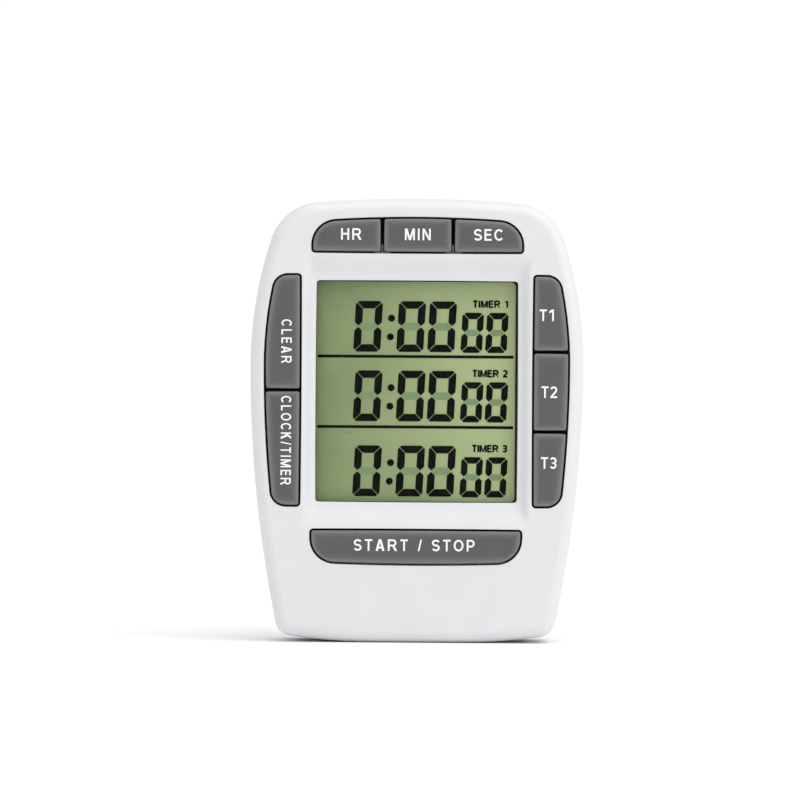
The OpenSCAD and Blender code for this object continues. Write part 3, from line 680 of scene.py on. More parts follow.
MAGNET_AT, MAGNET_R, MAGNET_SEAT_Y = (13.0, 77.5), 4.5, 7.5
MAGNET_WALL, MAGNET_FLOOR, MAGNET_PLAY = 1.3, 1.2, 0.05
HANG_AT, HANG_R, HANG_FLOOR_Y = (0.0, 78.0), 2.25, 6.6
HANG_WALL, HANG_FLOOR = 1.2, 1
STIFFENER = (20, 21, 0.6, 72, 78)       # X, front and Z
SCREW_SEAT_Y, SCREW_BORE_R, HEAD_BORE_R, REAR_BOSS_R = 6.6, 1.15, 2.1, 2.8
BUZZER_AT = (0.0, 50.0)
BUZZER_RING_R, BUZZER_R, BUZZER_SHELF_R = 11.1, 10.1, 9
BUZZER_RING_H, BUZZER_SHELF_T = 1.6, 0.3


def battery_tub():
    """Walls of the battery bay inside the case, and the fill between the bay and the foot."""
    wall_y = rear_inner_y + SINK
    tub = box(-BAY_OUT_HALF_W, BAY_OUT_HALF_W, BAY_OUT_Y, wall_y, *BAY_OUT_Z)
    boolean(tub, "INTERSECT", [slab(case_outline(side_wall + 0.25), BAY_OUT_Y - 1, back_y)])
    floor_part = box(-BAY_OUT_HALF_W, BAY_OUT_HALF_W, seam_y, wall_y, side_wall - SINK, BAY_Z[0])
    boolean(floor_part, "INTERSECT", [slab(case_outline(side_wall - SINK), seam_y, back_y)])
    return [tub, floor_part]


def cover_recess(half_w, z_range, r, axis, floor_y, barrel_r, pin_r, pin_len):
    """Cutters, in order, for a recess with a hinge at its top: mouth, floor, barrel and pins."""
    z0, z1 = z_range
    yield flared_hole(lambda i: straight_outline(-half_w, half_w, z0, z1, r, i), back_y, axis[0])
    yield box(-half_w, half_w, floor_y, axis[0] + SINK, z0, axis[1])
    yield rod_x(axis, barrel_r + BARREL_PLAY, -half_w, half_w)
    yield rod_x(axis, pin_r + PIN_PLAY, -half_w - pin_len, half_w + pin_len)


def build_rear():
    obj = loft("case_rear", half_rings(back_y, rear_edge, rear_edge_depth, -1)[::-1])
    cut(obj, slab(case_outline(side_wall), seam_y - 1, rear_inner_y))
    wall_y = rear_inner_y + SINK
    block_half_w = RECESS_HALF_W + BLOCK_WALL
    inside = battery_tub()
    inside.append(box(-block_half_w, block_half_w, BLOCK_IN_Y, wall_y,
                      BAY_OUT_Z[1] - SINK, RECESS_Z[1] + BLOCK_TOP))
    for at in COVER_SCREWS:
        inside += both_sides(rod_y(at, REAR_BOSS_R, seam_y, wall_y))
    inside += both_sides(rod_y(MAGNET_AT, MAGNET_R + MAGNET_WALL, MAGNET_SEAT_Y - MAGNET_FLOOR, wall_y))
    inside.append(rod_y(HANG_AT, HANG_R + HANG_WALL, HANG_FLOOR_Y - HANG_FLOOR, wall_y))
    inside += both_sides(box(*STIFFENER[:3], wall_y, *STIFFENER[3:]))
    for solid in inside:
        unite(obj, solid)
    ring = rod_y(BUZZER_AT, BUZZER_RING_R, BLOCK_IN_Y - BUZZER_RING_H, BLOCK_IN_Y + SINK)
    shelf_y = BLOCK_IN_Y - BUZZER_SHELF_T
    cut(ring, rod_y(BUZZER_AT, BUZZER_R, BLOCK_IN_Y - BUZZER_RING_H - SINK, shelf_y))
    cut(ring, rod_y(BUZZER_AT, BUZZER_SHELF_R, shelf_y - SINK, BLOCK_IN_Y))
    unite(obj, ring)

    for cutter in cover_recess(RECESS_HALF_W, RECESS_Z, 0.5, STAND_AXIS, RECESS_FLOOR_Y, *STAND_HINGE):
        cut(obj, cutter)
    cut(obj, flared_bore((0, RECESS_Z[0] + 2), NOTCH_R - 1, RECESS_FLOOR_Y, RECESS_FLOOR_Y - 0.8, 0.3))
    for cutter in cover_recess(DOOR_RECESS_HALF_W, DOOR_RECESS_Z, 0.4, DOOR_AXIS, DOOR_STEP_Y, *DOOR_HINGE):
        cut(obj, cutter)
    cut(obj, box(-BAY_MOUTH_HALF_W, BAY_MOUTH_HALF_W, BAY_Y[0], back_y, *BAY_MOUTH_Z))
    cut(obj, box(-BAY_HALF_W, BAY_HALF_W, *BAY_Y, *BAY_Z))
    cut(obj, *both_sides(box(*LEAD_SLOT, BAY_Z[1] - SINK, BAY_OUT_Z[1] + SINK)))

    for at in COVER_SCREWS:
        cut(obj, *both_sides(rod_y(at, SCREW_BORE_R, seam_y - 1, SCREW_SEAT_Y + SINK)))
        cut(obj, *both_sides(flared_bore(at, HEAD_BORE_R, back_y, SCREW_SEAT_Y)))
    cut(obj, *both_sides(flared_bore(MAGNET_AT, MAGNET_R + MAGNET_PLAY, back_y, MAGNET_SEAT_Y)))
    cut(obj, flared_bore(HANG_AT, HANG_R, back_y, HANG_FLOOR_Y, 0.3))
    finish_piece(obj, "case_rear", back_plastic, "case", ["rear_cover"])


def panel(name, half_w, z0, z1, y0, y1, r, round_in=0.2, round_out=0.3, steps=4):
    """Flat cover with rounded corners and softened edges on both faces."""
    rings = [(round_in * side, y0 + round_in * along) for side, along in quarter(steps)]
    rings += [(round_out * side, y1 - round_out * along) for side, along in quarter(steps)[::-1]]
    return loft(name, [ring_at(straight_outline(-half_w, half_w, z0, z1, r, inset), y)
                       for inset, y in rings])


def hinge_rod(axis, half_w, r, pin_r, pin_len):
    """Barrel along X with a pin at each end."""
    end = half_w + pin_len
    profile = [(pin_r - 0.15, -end), (pin_r, 0.15 - end), (pin_r, -half_w), (r - 0.1, -half_w),
               (r, 0.1 - half_w)]
    return turned_x(axis, profile + [(radius, -x) for radius, x in reversed(profile)])


def groove(z, half_w, width, depth):
    """Cutter for a round-ended finger groove in the back face."""
    half, r = width / 2, width / 2 - 0.02
    return flared_hole(lambda i: straight_outline(-half_w, half_w, z - half, z + half, r, i),
                       back_y, back_y - depth, flare=0.08, steps=3)


STAND_GROOVES_Z, DOOR_GROOVES_Z, GROOVE_DEPTH = (25.5, 27.3, 29.1, 30.9), (5.0, 6.5, 8.0), 0.3
STAND_POCKETS_Z = ((26.5, 37.5), (39, 50), (51.5, 62.5))    # shallow pockets behind the stand
STAND_POCKET_X, STAND_POCKET_DEPTH = (1.0, 11.2), 0.6


def build_stand():
    obj = panel("stand_panel", STAND_HALF_W, STAND_LOW_Z, STAND_AXIS[1] + 0.6, STAND_IN_Y, back_y, 1.2)
    unite(obj, hinge_rod(STAND_AXIS, STAND_HALF_W, *STAND_HINGE))
    cut(obj, flared_bore((0, STAND_LOW_Z - 1), NOTCH_R, back_y, STAND_IN_Y - 1, 0.3))
    cut(obj, *[groove(z, 7, 0.8, GROOVE_DEPTH) for z in STAND_GROOVES_Z])
    pockets = []
    for z0, z1 in STAND_POCKETS_Z:
        pocket = flared_hole(lambda i: straight_outline(*STAND_POCKET_X, z0, z1, 0.8, i),
                             STAND_IN_Y, STAND_IN_Y + STAND_POCKET_DEPTH, flare=0.15, steps=3)
        pockets += both_sides(pocket)
    cut(obj, *pockets)
    finish_piece(obj, "stand_panel", back_plastic, "stand", ["stand"])


def build_door():
    obj = panel("door_panel", DOOR_HALF_W, DOOR_LOW_Z, DOOR_AXIS[1] + 0.4, DOOR_IN_Y, back_y, 0.8)
    unite(obj, hinge_rod(DOOR_AXIS, DOOR_HALF_W, *DOOR_HINGE))
    cut(obj, *[groove(z, 4.5, 0.7, GROOVE_DEPTH) for z in DOOR_GROOVES_Z])
    finish_piece(obj, "door_panel", back_plastic, "battery_door", ["battery_door"])


def join(objects):
    """One mesh object from several."""
    bm = bmesh.new()
    for obj in objects:
        bm.from_mesh(obj.data)
        bpy.data.objects.remove(obj)
    mesh = bpy.data.meshes.new("joined")
    bm.to_mesh(mesh)
    bm.free()
    return show(bpy.data.objects.new("joined", mesh))


def build_magnets():
    face = -key_face_y
    profile = [(MAGNET_R - 0.25, MAGNET_SEAT_Y), (MAGNET_R, MAGNET_SEAT_Y + 0.25), (MAGNET_R, face - 0.35),
               (MAGNET_R - 0.1, face - 0.1), (MAGNET_R - 0.35, face)]
    discs = join(both_sides(turned_y(MAGNET_AT, profile, count=96)))
    finish_piece(discs, "magnet_discs", ferrite, "case", ["magnets"])


SCREW_R, SCREW_TIP, SCREW_HEAD_R, SCREW_HEAD_H = 1.0, 2, 1.9, 1.4
SLOT_HALF, SLOT_ARM, SLOT_DEPTH, SLOT_TAPER = 0.14, 0.62, 0.6, 0.75    # shares of the head's size


def cross_screw(at):
    """Pan-head screw with a tapered cross slot; its head faces the back."""
    r, head_r, seat_y, head_h = SCREW_R, SCREW_HEAD_R, SCREW_SEAT_Y, SCREW_HEAD_H
    top, tip_y = seat_y + head_h, inner_y + SCREW_TIP
    profile = [(r * 0.4, tip_y), (r, tip_y + r), (r, seat_y), (head_r, seat_y)]
    for a in (radians(step) for step in range(0, 76, 15)):
        profile.append((head_r * cos(a) ** 0.5, seat_y + head_h * (0.45 + 0.55 * sin(a))))
    profile[-1] = (profile[-1][0], top)
    screw = turned_y(at, profile, count=48)
    x, z = at
    half, arm = head_r * SLOT_HALF, head_r * SLOT_ARM
    deep = top - head_h * SLOT_DEPTH
    for w, h in ((half, arm), (arm, half)):
        mouth = [(x - w, z - h), (x + w, z - h), (x + w, z + h), (x - w, z + h)]
        root = [(x + (px - x) * SLOT_TAPER, z + (pz - z) * SLOT_TAPER) for px, pz in mouth]
        cut(screw, loft("slot", [ring_at(root, deep), ring_at(mouth, top + 0.1)]))
    return screw


def build_screws():
    screws = []
    for at in COVER_SCREWS:
        screws += both_sides(cross_screw(at))
    finish_piece(join(screws), "cover_screws", steel, "case", ["case_screws"])


CELL_AT = (2.0, 9.25)
CELL_R, CELL_HALF = 5.25, 22.25


def build_cell():
    """Battery cell: a shrunk sleeve, rolled over at both ends, with the bare steel ends inside it."""
    r, end, shoulder = CELL_R, CELL_HALF, CELL_HALF - 1.0
    sleeve = [(4.3, -end + 0.12), (4.7, -end + 0.04), (5.05, -end + 0.12), (r, -end + 0.4),
              (r, shoulder - 0.5), (5.1, shoulder - 0.15), (4.7, shoulder - 0.02), (4.3, shoulder - 0.08)]
    finish_piece(turned_x(CELL_AT, sleeve, count=96), "cell_sleeve", cell_sleeve, "case",
                 ["battery_cell"])
    minus = [(3.2, -end), (3.5, -end + 0.05), (4.2, -end + 0.2), (4.2, -end + 0.5)]
    plus = [(4.2, shoulder - 0.5), (4.2, shoulder - 0.1), (2.6, shoulder), (2.0, shoulder + 0.1),
            (1.9, shoulder + 0.3), (1.9, end - 0.2), (1.8, end - 0.05), (1.6, end)]
    ends = join([turned_x(CELL_AT, profile, count=64) for profile in (minus, plus)])
    finish_piece(ends, "cell_ends", contact_steel, "case")


def tube(route, r, sides=16):
    """Round wire along a route of points, with domed ends."""
    points = [Vector(p) for p in route]
    rings = []
    for i, point in enumerate(points):
        t = (points[min(i + 1, len(points) - 1)] - points[max(i - 1, 0)]).normalized()
        u = Vector((1, 0, 0)).cross(t).normalized()
        v = t.cross(u)
        size = 0.6 if i in (0, len(points) - 1) else 1.0    # the ends are drawn in
        rings.append([point + r * size * (cos(a) * u + sin(a) * v)
                      for a in (2 * pi * j / sides for j in range(sides))])
    return loft("tube", rings)


SPRING_TURNS, SPRING_STEPS, SPRING_WIRE_R = 3, 48, 0.3
SPRING_R, SPRING_NARROWING = 3.6, 1.8   # the coil is widest at its plate
PLATE_T, PLATE_HALF, PLATE_Z = 0.4, 3, (5.0, 13.6)


def build_spring():
    plate_x, wire_r, count = -BAY_HALF_W + PLATE_T, SPRING_WIRE_R, SPRING_TURNS * SPRING_STEPS
    length = -CELL_HALF - plate_x - 2 * wire_r
    cy, cz = CELL_AT
    route = []
    for i in range(count + 1):
        f, a = i / count, 2 * pi * i / SPRING_STEPS
        r = SPRING_R - SPRING_NARROWING * f
        route.append((plate_x + wire_r + length * f, cy + r * cos(a), cz + r * sin(a)))
    plate = box(-BAY_HALF_W, plate_x, cy - PLATE_HALF, cy + PLATE_HALF, *PLATE_Z)
    soften(plate, 0.1, 2)
    finish_piece(join([plate, tube(route, wire_r)]), "contact_spring", contact_steel, "case",
                 ["battery_negative_spring"])


WEB_FOOT_HALF_W, WEB_RISE = 1.6, 1.4
WEB_PLAY = 0.03             # between a web and the keys or the case
WEB_STEP = 0.02             # how far the stem stands in front of the face, and the foot behind it


def build_webs():
    """Small tabs of key plastic that close the lower end of each split in the top row."""
    tabs = []
    foot_z = (ROW_Z - KEY_GAP + WEB_PLAY, ROW_Z - 0.04)
    stem_z = (foot_z[0] + WEB_STEP, ROW_Z + WEB_RISE)
    for x in (-TOP_SPLIT_X, TOP_SPLIT_X):
        foot = panel("foot", WEB_FOOT_HALF_W, *foot_z, face_y + WEB_STEP, inner_y, 0.15, 0.1, 0.02)
        stem = panel("stem", HALF_SPLIT - WEB_PLAY, *stem_z, face_y - WEB_STEP, inner_y, 0.15, 0.08, 0.02)
        for tab in (foot, stem):
            for v in tab.data.vertices:
                v.co.x += x * MM
        unite(foot, stem)
        tabs.append(foot)
    finish_piece(join(tabs), "row_webs", key_plastic, "case")


build_front()
build_rear()
build_stand()
build_door()
build_magnets()
build_screws()
build_cell()
build_spring()
build_webs()


# ---- keys

KEY_EDGE, KEY_EDGE_DEPTH = 0.36, 0.8    # width of the rounded edge, and its depth as a share of that
KEY_CROWN = 0.22            # how far the face falls away towards the edge
KEY_PILLOW = 2.4            # how far in from its edge a key's face is curved
KEY_TOP_GAP = 0.05          # room for the printed label inside the object's box
CORE_RING = 2.0
FACE_RINGS = ((CORE_RING, 0), (1.5, 0.05), (1.1, 0.15), (0.8, 0.35), (0.55, 0.7))   # inset and share of the painted rim highlight
CORNER_SHRINK, LEAST_R = 1.8, 0.15
key_back_y = node_box("hr_key")[1].y


def middle_of(outline):
    """Middle of the outline's box."""
    xs, zs = [p[0] for p in outline], [p[1] for p in outline]
    return (min(xs) + max(xs)) / 2, (min(zs) + max(zs)) / 2


def inner_outline(sides, radii, inset):
    """Outline moved inwards by more than its smallest corner radius; its corners get tighter with it."""
    tighter = [max(r - CORNER_SHRINK * inset, LEAST_R) for r in radii]
    return arcs_outline([inset_side(side, inset) for side in sides], tighter)


def build_key(name):
    """Cap with a soft edge and a pillowed face."""
    sides, radii = KEYS[name]
    top_y = key_face_y + KEY_TOP_GAP
    core = inner_outline(sides, radii, CORE_RING)
    cx, cz = middle_of(core)
    rings, rim_highlights = [], []

    def add(outline, y, rim_highlight):
        rings.append(ring_at(outline, y))
        rim_highlights.append(rim_highlight)

    for t in (0.3, 0.7):
        add([(cx + (x - cx) * t, cz + (z - cz) * t) for x, z in core], top_y, 0)
    for inset, rim_highlight in FACE_RINGS:
        add(inner_outline(sides, radii, inset), top_y + KEY_CROWN * (1 - inset / KEY_PILLOW) ** 2, rim_highlight)
    rim_y = top_y + KEY_CROWN * (1 - KEY_EDGE / KEY_PILLOW) ** 2
    for side, along in quarter(6):
        add(arcs_outline(sides, radii, KEY_EDGE * side), rim_y + KEY_EDGE * KEY_EDGE_DEPTH * along, 1)
    add(arcs_outline(sides, radii), key_back_y, 1)
    obj = loft(name + "_cap", rings)
    # Each ring's share of the painted rim highlight, stored on its points.
    attribute = obj.data.attributes.new(RIM_HIGHLIGHT, "FLOAT", "POINT")
    count = len(rings[0])
    for i in range(len(obj.data.vertices)):
        attribute.data[i].value = rim_highlights[i // count]
    if name in LEFT_KEYS:
        flipped = mirrored(obj)
        bpy.data.objects.remove(obj)
        obj = flipped
    return finish_piece(obj, name + "_cap", key_plastic, name + "_press", [name + "_key"],
                        sharp_angle=60)


caps = {name: build_key(name) for name in KEYS if "group" not in name}


# ---- display

INK_RISE = 0.03             # how far the ink stands in front of the display's face
INK_ROOT = 0.05             # and how far it is sunk into it
SLANT = tan(radians(3))
ROW_DROPS = (0.0, 13.8, 28.7)   # of each row below the first
# Lower left corner, width, height and stroke of each digit in the top row
DIGITS = [(-12.7, 57.6, 5.4, 10.1, 1.5), (-4.15, 57.6, 5.4, 10.1, 1.5), (2.0, 57.6, 5.4, 10.1, 1.5),
          (8.6, 57.5, 4.3, 8.0, 1.3), (13.5, 57.5, 4.3, 8.0, 1.3)]
COLON = [(-5.1, 64.3), (-5.3, 60.6)]
COLON_R = 0.7
GLASS_GAP = 0.08            # between two segments
CHAMFER = 0.6


def half_segments(w, h, t):
    """Top bar and upper left bar of a digit, lower left corner at the origin."""
    c, g, m = CHAMFER, GLASS_GAP, h / 2
    top = [(c + g, h), (c / 2 + g, h - c / 2), (t + g, h - t), (w - t - g, h - t),
           (w - c / 2 - g, h - c / 2), (w - c - g, h)]
    left = [(0, h - c - g), (0, m + g + t * 0.5), (t * 0.5, m + g * 1.5), (t, m + g + t * 0.5),
            (t, h - t - g), (c / 2, h - c / 2 - g)]
    return top, left


def zero_segments(w, h, t):
    """The six lit bars of a zero."""
    top, left = half_segments(w, h, t)
    right = [(w - x, z) for x, z in left][::-1]
    upper = [top, left, right]
    return upper + [[(x, h - z) for x, z in bar][::-1] for bar in upper]


def middle_segment(w, h, t):
    """The bar that a zero leaves off."""
    m, g = h / 2, GLASS_GAP
    return [(t * 0.5 + g, m), (t + g, m - t / 2), (w - t - g, m - t / 2), (w - t * 0.5 - g, m),
            (w - t - g, m + t / 2), (t + g, m + t / 2)]


def ink(outline, rise=INK_RISE):
    """Thin solid that stands on the display's face."""
    return slab(outline, polariser_y - rise, polariser_y + INK_ROOT)


def slanted(bar, x0, z0):
    """A digit's bar, leaning to the right, in its place."""
    return [(x0 + x + z * SLANT, z0 + z) for x, z in bar]


def build_row(index, drop):
    bars = []
    for x0, z0, w, h, t in DIGITS:
        bars += [ink(slanted(bar, x0, z0 - drop)) for bar in zero_segments(w, h, t)]
    bars += [ink(circle((x, z - drop), COLON_R, 40)) for x, z in COLON]
    finish_piece(join(bars), f"lcd_row_{index}", lcd_ink, "case", sharp_angle=30)


for index, drop in enumerate(ROW_DROPS, 1):
    build_row(index, drop)

UNLIT_RISE = 0.015
# Small unlit marks at the upper left of each row: middle, width and height
MARKS = [(-16.6, 70.3, 2.2, 0.5), (-13.6, 70.3, 1.6, 0.5), (-16.4, 66.4, 2.6, 1.1)]


def build_unlit():
    """Faint segments that are off: the middle bar of each digit and a few marks."""
    bars = []
    for drop in ROW_DROPS:
        for x0, z0, w, h, t in DIGITS:
            bars.append(ink(slanted(middle_segment(w, h, t), x0, z0 - drop), UNLIT_RISE))
        for x, z, w, h in MARKS:
            mark = straight_outline(x - w / 2, x + w / 2, z - drop - h / 2, z - drop + h / 2, 0.2)
            bars.append(ink(mark, UNLIT_RISE))
    finish_piece(join(bars), "lcd_unlit", lcd_unlit, "case")


build_unlit()

FOAM_SHOWN_AS_SHADOW = (0.08, 0.5, 0.12, 0.18)    # painted shadow line: how much foam shows inside the window's left, right, lower and upper edge


def build_gasket():
    """Black foam frame, a real part; the strip of it shown inside the window, widest at the right, is a
    painted shadow line along the window's edge.
    """
    y0, y1 = lens_high.y, polariser_y
    low, high = lens_low, lens_high
    obj = slab(straight_outline(low.x, high.x, low.z, high.z, 0.3), y0, y1, "display_gasket")
    w, h = WINDOW_HALF
    left, right, bottom, top = FOAM_SHOWN_AS_SHADOW
    opening = straight_outline(left - w, w - right, WINDOW_Z - h + bottom, WINDOW_Z + h - top, 0.9)
    cut(obj, slab(opening, y0 - 1, y1 + 1))
    finish_piece(obj, "display_gasket", foam, "case", ["lcd_gasket"])


build_gasket()

DIVIDERS_Z = (56.7, 42.7)
DIVIDER_X = (-19.7, 19.2)
DIVIDER_T = 0.58
lines = [ink(straight_outline(*DIVIDER_X, z - DIVIDER_T / 2, z + DIVIDER_T / 2, 0.1)) for z in DIVIDERS_Z]
finish_piece(join(lines), "lcd_dividers", lcd_ink, "case")


# ---- lettering

STROKE = 0.155              # stroke of a letter, where its height is 1
HALF_STROKE = STROKE / 2
SPACE_W = 0.3


def oval(cx, cz, rx, rz, a, b, count=18):
    """Points on an oval from angle a to angle b in degrees, with the last one."""
    angles = [radians(a + (b - a) * i / count) for i in range(count + 1)]
    return [(cx + rx * cos(t), cz + rz * sin(t)) for t in angles]


def make_letters():
    """Plain bold capitals and digits: width, centre lines of strokes, filled outlines. Height is 1."""
    h, w = HALF_STROKE, STROKE

    def stem(x):
        return [(x, 0), (x, 1)]

    def bowl(low, right):
        r = (1 - h - low) / 2
        return [(h, 1 - h)] + oval(right - h - r, 1 - h - r, r, r, 90, -90) + [(h, low)]

    q = (1 - w) / 4
    s_curve = oval(0.34, 0.5 + q, 0.34 - h, q, 20, 270) + oval(0.34, 0.5 - q, 0.34 - h, q, 90, -160)[1:]
    three = oval(0.29, 0.5 + q, 0.31 - h, q, 155, -90) + oval(0.29, 0.5 - q, 0.31 - h, q, 90, -155)[1:]
    two = oval(0.31, 0.69, 0.31 - h, 0.31 - h, 165, -38) + [(0.12, h + 0.06)]
    return {
        "A": (0.78, [[(0.15, 0.29), (0.63, 0.29)]],
              [[(0, 0), (0.21, 0), (0.39, 0.76), (0.57, 0), (0.78, 0), (0.5, 1), (0.28, 1)]]),
        "C": (0.78, [oval(0.41, 0.5, 0.41 - h, 0.5 - h, 40, 320, 28)], []),
        "E": (0.62, [stem(h), [(h, 1 - h), (0.6, 1 - h)], [(h, 0.52), (0.57, 0.52)],
                     [(h, h), (0.62, h)]], []),
        "H": (0.70, [stem(h), stem(0.70 - h), [(h, 0.52), (0.70 - h, 0.52)]], []),
        "I": (w, [stem(h)], []),
        "K": (0.74, [stem(h)], [[(h, 0.32), (0.72, 1), (0.47, 1), (h, 0.58)],
                                [(0.49, 0), (0.74, 0), (0.42, 0.66), (0.25, 0.5)]]),
        "L": (0.58, [[(h, 1), (h, h), (0.58, h)]], []),
        "M": (0.90, [stem(h), stem(0.90 - h)],
              [[(0, 1), (0.37, 0), (0.53, 0), (0.90, 1), (0.68, 1), (0.45, 0.3), (0.22, 1)]]),
        "N": (0.74, [stem(h), stem(0.74 - h)], [[(0, 1), (0.56, 0), (0.74, 0), (0.18, 1)]]),
        "O": (0.84, [oval(0.42, 0.5, 0.42 - h, 0.5 - h, 0, 360, 36)], []),
        "P": (0.68, [stem(h), bowl(0.42, 0.68)], []),
        "R": (0.80, [stem(h), bowl(0.47, 0.74)], [[(0.60, 0), (0.80, 0), (0.56, 0.46), (0.37, 0.46)]]),
        "S": (0.68, [s_curve], []),
        "T": (0.64, [[(0, 1 - h), (0.64, 1 - h)], [(0.32, 0), (0.32, 1 - h)]], []),
        "/": (0.36, [], [[(0, 0), (0.13, 0), (0.36, 1), (0.23, 1)]]),
        "1": (0.42, [stem(0.42 - h)], [[(0, 0.66), (0.26, 0.78), (0.26, 1), (0.22, 1), (0, 0.83)]]),
        "2": (0.62, [two, [(0, h), (0.62, h)]], []),
        "3": (0.61, [three], []),
    }


LETTERS = make_letters()


def stroke_solid(line, half_t, scale, thick):
    """Flat bar of even width along a centre line; a line that ends where it starts is closed."""
    closed = dist(line[0], line[-1]) < 1e-6
    if closed:
        line = line[:-1]
    points, rings = [Vector(p) for p in line], []
    n = len(points)
    for i, point in enumerate(points):
        ways = []
        if closed or i > 0:
            ways.append((point - points[i - 1]).normalized())
        if closed or i < n - 1:
            ways.append((points[(i + 1) % n] - point).normalized())
        way = sum(ways, Vector((0, 0))).normalized()
        side = Vector((-way.y, way.x)) * half_t / max(0.5, way.dot(ways[0]))
        left, right = point + side, point - side
        rings.append([(scale * p.x, y, scale * p.y) for p, y in
                      ((left, -thick), (right, -thick), (right, thick), (left, thick))])
    if not closed:
        return loft("stroke", rings)
    skin = [[i * 4 + j, i * 4 + (j + 1) % 4, (i + 1) % n * 4 + (j + 1) % 4, (i + 1) % n * 4 + j]
            for i in range(n) for j in range(4)]
    obj = link_mesh("stroke", [p for ring in rings for p in ring], skin)
    fix_normals(obj)
    return obj


def text_mesh(text, cap_height, width, thick, turn=0, half_t=HALF_STROKE, narrow=1.0):
    """Flat lettering in the XZ plane, centred on the origin; its letters are spaced to fill the width."""
    widths = [narrow * (SPACE_W if c == " " else LETTERS[c][0]) for c in text]
    gap = (width / cap_height - sum(widths)) / (len(text) - 1)
    solids, x = [], -width / 2
    for letter, letter_w in zip(text, widths):
        if letter != " ":
            lines, fills = LETTERS[letter][1:]
            parts = [stroke_solid(line, half_t, cap_height, thick) for line in lines]
            for fill in fills:
                parts.append(slab([(cap_height * px, cap_height * pz) for px, pz in fill], -thick, thick))
            if len(parts) > 1:
                unite(*parts)
            for v in parts[0].data.vertices:
                v.co.x = v.co.x * narrow + x * MM
                v.co.z -= cap_height / 2 * MM
            solids.append(parts[0])
        x += (letter_w + gap) * cap_height
    obj = join(solids)
    c, s = cos(radians(turn)), sin(radians(turn))
    for v in obj.data.vertices:
        v.co.x, v.co.z = v.co.x * c - v.co.z * s, v.co.x * s + v.co.z * c
    return obj


LABEL_T = 0.06              # half sunk into the key, half above it
# Text, middle, width, turn in degrees, letter height and how narrow the letters are
LABELS = {
    "hr": ("HR", -13.15, 80.8, 4.05, 0, 2.3, 1.0), "min": ("MIN", 0.0, 80.8, 5.1, 0, 2.3, 0.95),
    "sec": ("SEC", 14.0, 80.8, 5.8, 0, 2.3, 1.0),
    "clear": ("CLEAR", -25.8, 59.5, 8.7, -90, 2.05, 0.88),
    "clock_timer": ("CLOCK/TIMER", -25.8, 39.9, 17.6, -90, 2.05, 0.86),
    "t1": ("T1", 25.6, 65.0, 2.8, 0, 2.3, 0.95), "t2": ("T2", 26.2, 49.8, 3.1, 0, 2.3, 0.95),
    "t3": ("T3", 26.2, 35.8, 3.1, 0, 2.3, 0.95),
    "start_stop": ("START / STOP", -0.3, 19.35, 23.9, 0, 2.3, 1.0),
}


def build_label(name):
    """Printed lettering that lies on the key's face."""
    text, cx, cz, width, turn, height, narrow = LABELS[name]
    obj = text_mesh(text, height, width, LABEL_T / 2, turn, narrow=narrow)
    tree = BVHTree.FromObject(caps[name], bpy.context.evaluated_depsgraph_get())
    for v in obj.data.vertices:
        v.co += Vector((cx, 0, cz)) * MM
        start = Vector((v.co.x, (key_face_y - 5) * MM, v.co.z))
        v.co.y += tree.ray_cast(start, Vector((0, 1, 0)))[0].y
    finish_piece(obj, name + "_label", label_ink, name + "_press")


bpy.context.view_layer.update()
for name in LABELS:
    build_label(name)

TIMER_AT, TIMER_W, TIMER_H, TIMER_HALF_STROKE = (14.55, 67.2), 6.9, 1.4, 0.135
for index, drop in enumerate(ROW_DROPS, 1):
    cx, cz = TIMER_AT
    obj = text_mesh(f"TIMER {index}", TIMER_H, TIMER_W, INK_RISE, half_t=TIMER_HALF_STROKE)
    for v in obj.data.vertices:
        v.co += Vector((cx, polariser_y, cz - drop)) * MM
    finish_piece(obj, f"lcd_name_{index}", lcd_ink, "case")


# ---- CAD nodes that keep their shape

def clear_material(name, color, alpha, roughness):
    """Clear sheet: mostly see-through, with a soft gloss and faint haze."""
    material, shader = principled(name, color, roughness, alpha=alpha)
    tree = material.node_tree
    vary_roughness(tree, shader, noise(tree, 0.4, 2), roughness, roughness + 0.05)
    vary_color(tree, shader, noise(tree, 0.1, 1), color, 0.03)
    return material


CAD_MATERIALS = {
    "display_lens": clear_material("lens_clear", (0.05, 0.06, 0.05), 0.03, 0.05),
    "lcd_front_polariser": lcd_back, "lcd_front_glass": lcd_back, "lcd_rear_glass": lcd_back,
    "lcd_reflector": lcd_back,
    "zebra_strips": surface("zebra", linear(190, 150, 145), 0.6, grain=4, stretch=(6, 1, 1), vary=0.3),
    "keypad_mat": surface("silicone", linear(70, 70, 72), 0.7, grain=4, vary=0.05),
    "main_board": surface("board", linear(30, 96, 52), 0.4, grain=3, vary=0.12, coat=0.4),
    "chip_cover": surface("epoxy", (0.012, 0.012, 0.012), 0.25, grain=1.5, vary=0.2, bump=0.3, depth=0.05),
    "crystal_can": contact_steel, "battery_positive_contact": contact_steel, "board_screws": steel,
    "chip_capacitors": surface("capacitor", linear(180, 150, 110), 0.5, vary=0.1),
    "chip_resistors": surface("resistor", linear(20, 20, 22), 0.4, vary=0.1),
    "buzzer_plate": surface("brass", linear(214, 180, 98), 0.3, metallic=1, grain=6, vary=0.1),
    "buzzer_ceramic": surface("silvered", linear(214, 212, 204), 0.5, vary=0.05),
    "buzzer_lead_a": surface("red_sleeve", linear(170, 20, 18), 0.4, vary=0.06),
    "buzzer_lead_b": surface("black_sleeve", linear(22, 22, 23), 0.4, vary=0.06),
}
CAD_MATERIALS["battery_lead_red"] = CAD_MATERIALS["buzzer_lead_a"]
CAD_MATERIALS["battery_lead_black"] = CAD_MATERIALS["buzzer_lead_b"]
for name in LABELS:
    CAD_MATERIALS[name + "_plunger"] = CAD_MATERIALS["keypad_mat"]
for name, material in CAD_MATERIALS.items():
    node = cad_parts[name]
    node.data.materials.clear()
    node.data.materials.append(material)


# ---- stage, light and camera

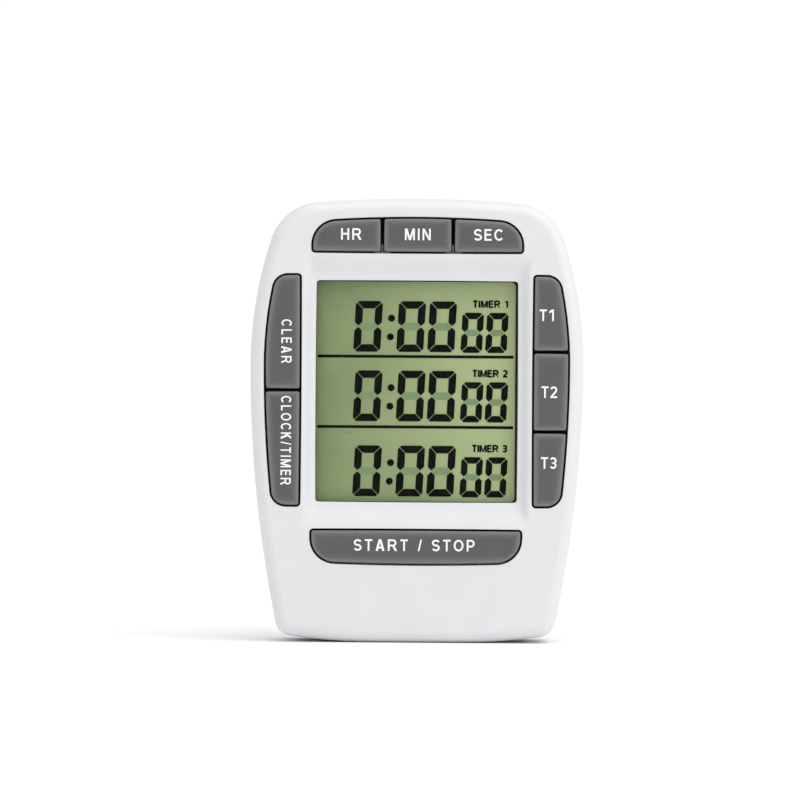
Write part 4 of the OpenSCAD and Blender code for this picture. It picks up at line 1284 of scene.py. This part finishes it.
FLOOR_R, FLOOR_SIDES = 3000.0, 96
CAMERA_AT = (-3.3, 48.05)   # X and Z
VIEW_W = 158.2              # width of what the camera sees at the timer's face
ROLL = -0.4
LENS, SENSOR = 200.0, 36.0


def build_floor():
    """Pale floor, a wide disc that the timer stands on."""
    ring = [(x, y, 0.0) for x, y in circle((0, 0), FLOOR_R, FLOOR_SIDES)]
    return link_mesh("floor", ring, [list(range(FLOOR_SIDES))])


def add_area(name, at, target, size, power):
    """Soft light from a square, turned towards its target."""
    light = bpy.data.lights.new(name, "AREA")
    light.shape = "RECTANGLE"
    light.size = light.size_y = size * MM
    light.energy = power
    obj = show(bpy.data.objects.new(name, light))
    obj.location = Vector(at) * MM
    obj.rotation_euler = (Vector(target) - Vector(at)).to_track_quat("-Z", "Y").to_euler()


def add_sun(name, came_from, strength, spread):
    """Even light from far away, as from a wide soft box; spread is its angle in degrees."""
    light = bpy.data.lights.new(name, "SUN")
    light.energy = strength
    light.angle = radians(spread)
    obj = show(bpy.data.objects.new(name, light))
    obj.rotation_euler = Vector(came_from).to_track_quat("Z", "Y").to_euler()


def set_world(seen, light):
    """White backdrop as the camera sees it, and the even light that it gives."""
    world = bpy.data.worlds.new("studio")
    world.use_nodes = True
    tree = world.node_tree
    background = tree.nodes["Background"]
    set_inputs(background, Color=(1, 1, 1, 1))
    path = new_node(tree, "LightPath")
    strength = new_node(tree, "MapRange", To_Min=light, To_Max=seen)
    wire(tree, (path, "Is Camera Ray"), (strength, "Value"), (strength, "Result"), (background, "Strength"))
    bpy.context.scene.world = world


def add_camera():
    camera = bpy.data.cameras.new("camera")
    camera.lens, camera.sensor_width = LENS, SENSOR
    camera.clip_start, camera.clip_end = 0.01, 10
    camera.dof.use_dof = False
    obj = show(bpy.data.objects.new("camera", camera))
    distance = VIEW_W * LENS / SENSOR
    obj.location = Vector((CAMERA_AT[0], face_y - distance, CAMERA_AT[1])) * MM
    obj.rotation_euler = (radians(90), radians(ROLL), 0)
    bpy.context.scene.camera = obj


floor = build_floor()
floor_white = surface("floor_white", (0.94, 0.94, 0.95), 0.8, grain=0.5, vary=0.01, bump=0.02)
floor.data.materials.append(floor_white)
set_world(seen=1.03, light=0.76)
add_area("key_light", at=(520, -300, 260), target=(0, 0, 45), size=300, power=0.5)
add_sun("top_light", came_from=(0.25, -0.3, 1.0), strength=1.3, spread=50)
add_camera()
bpy.context.scene.view_settings.view_transform = "Standard"
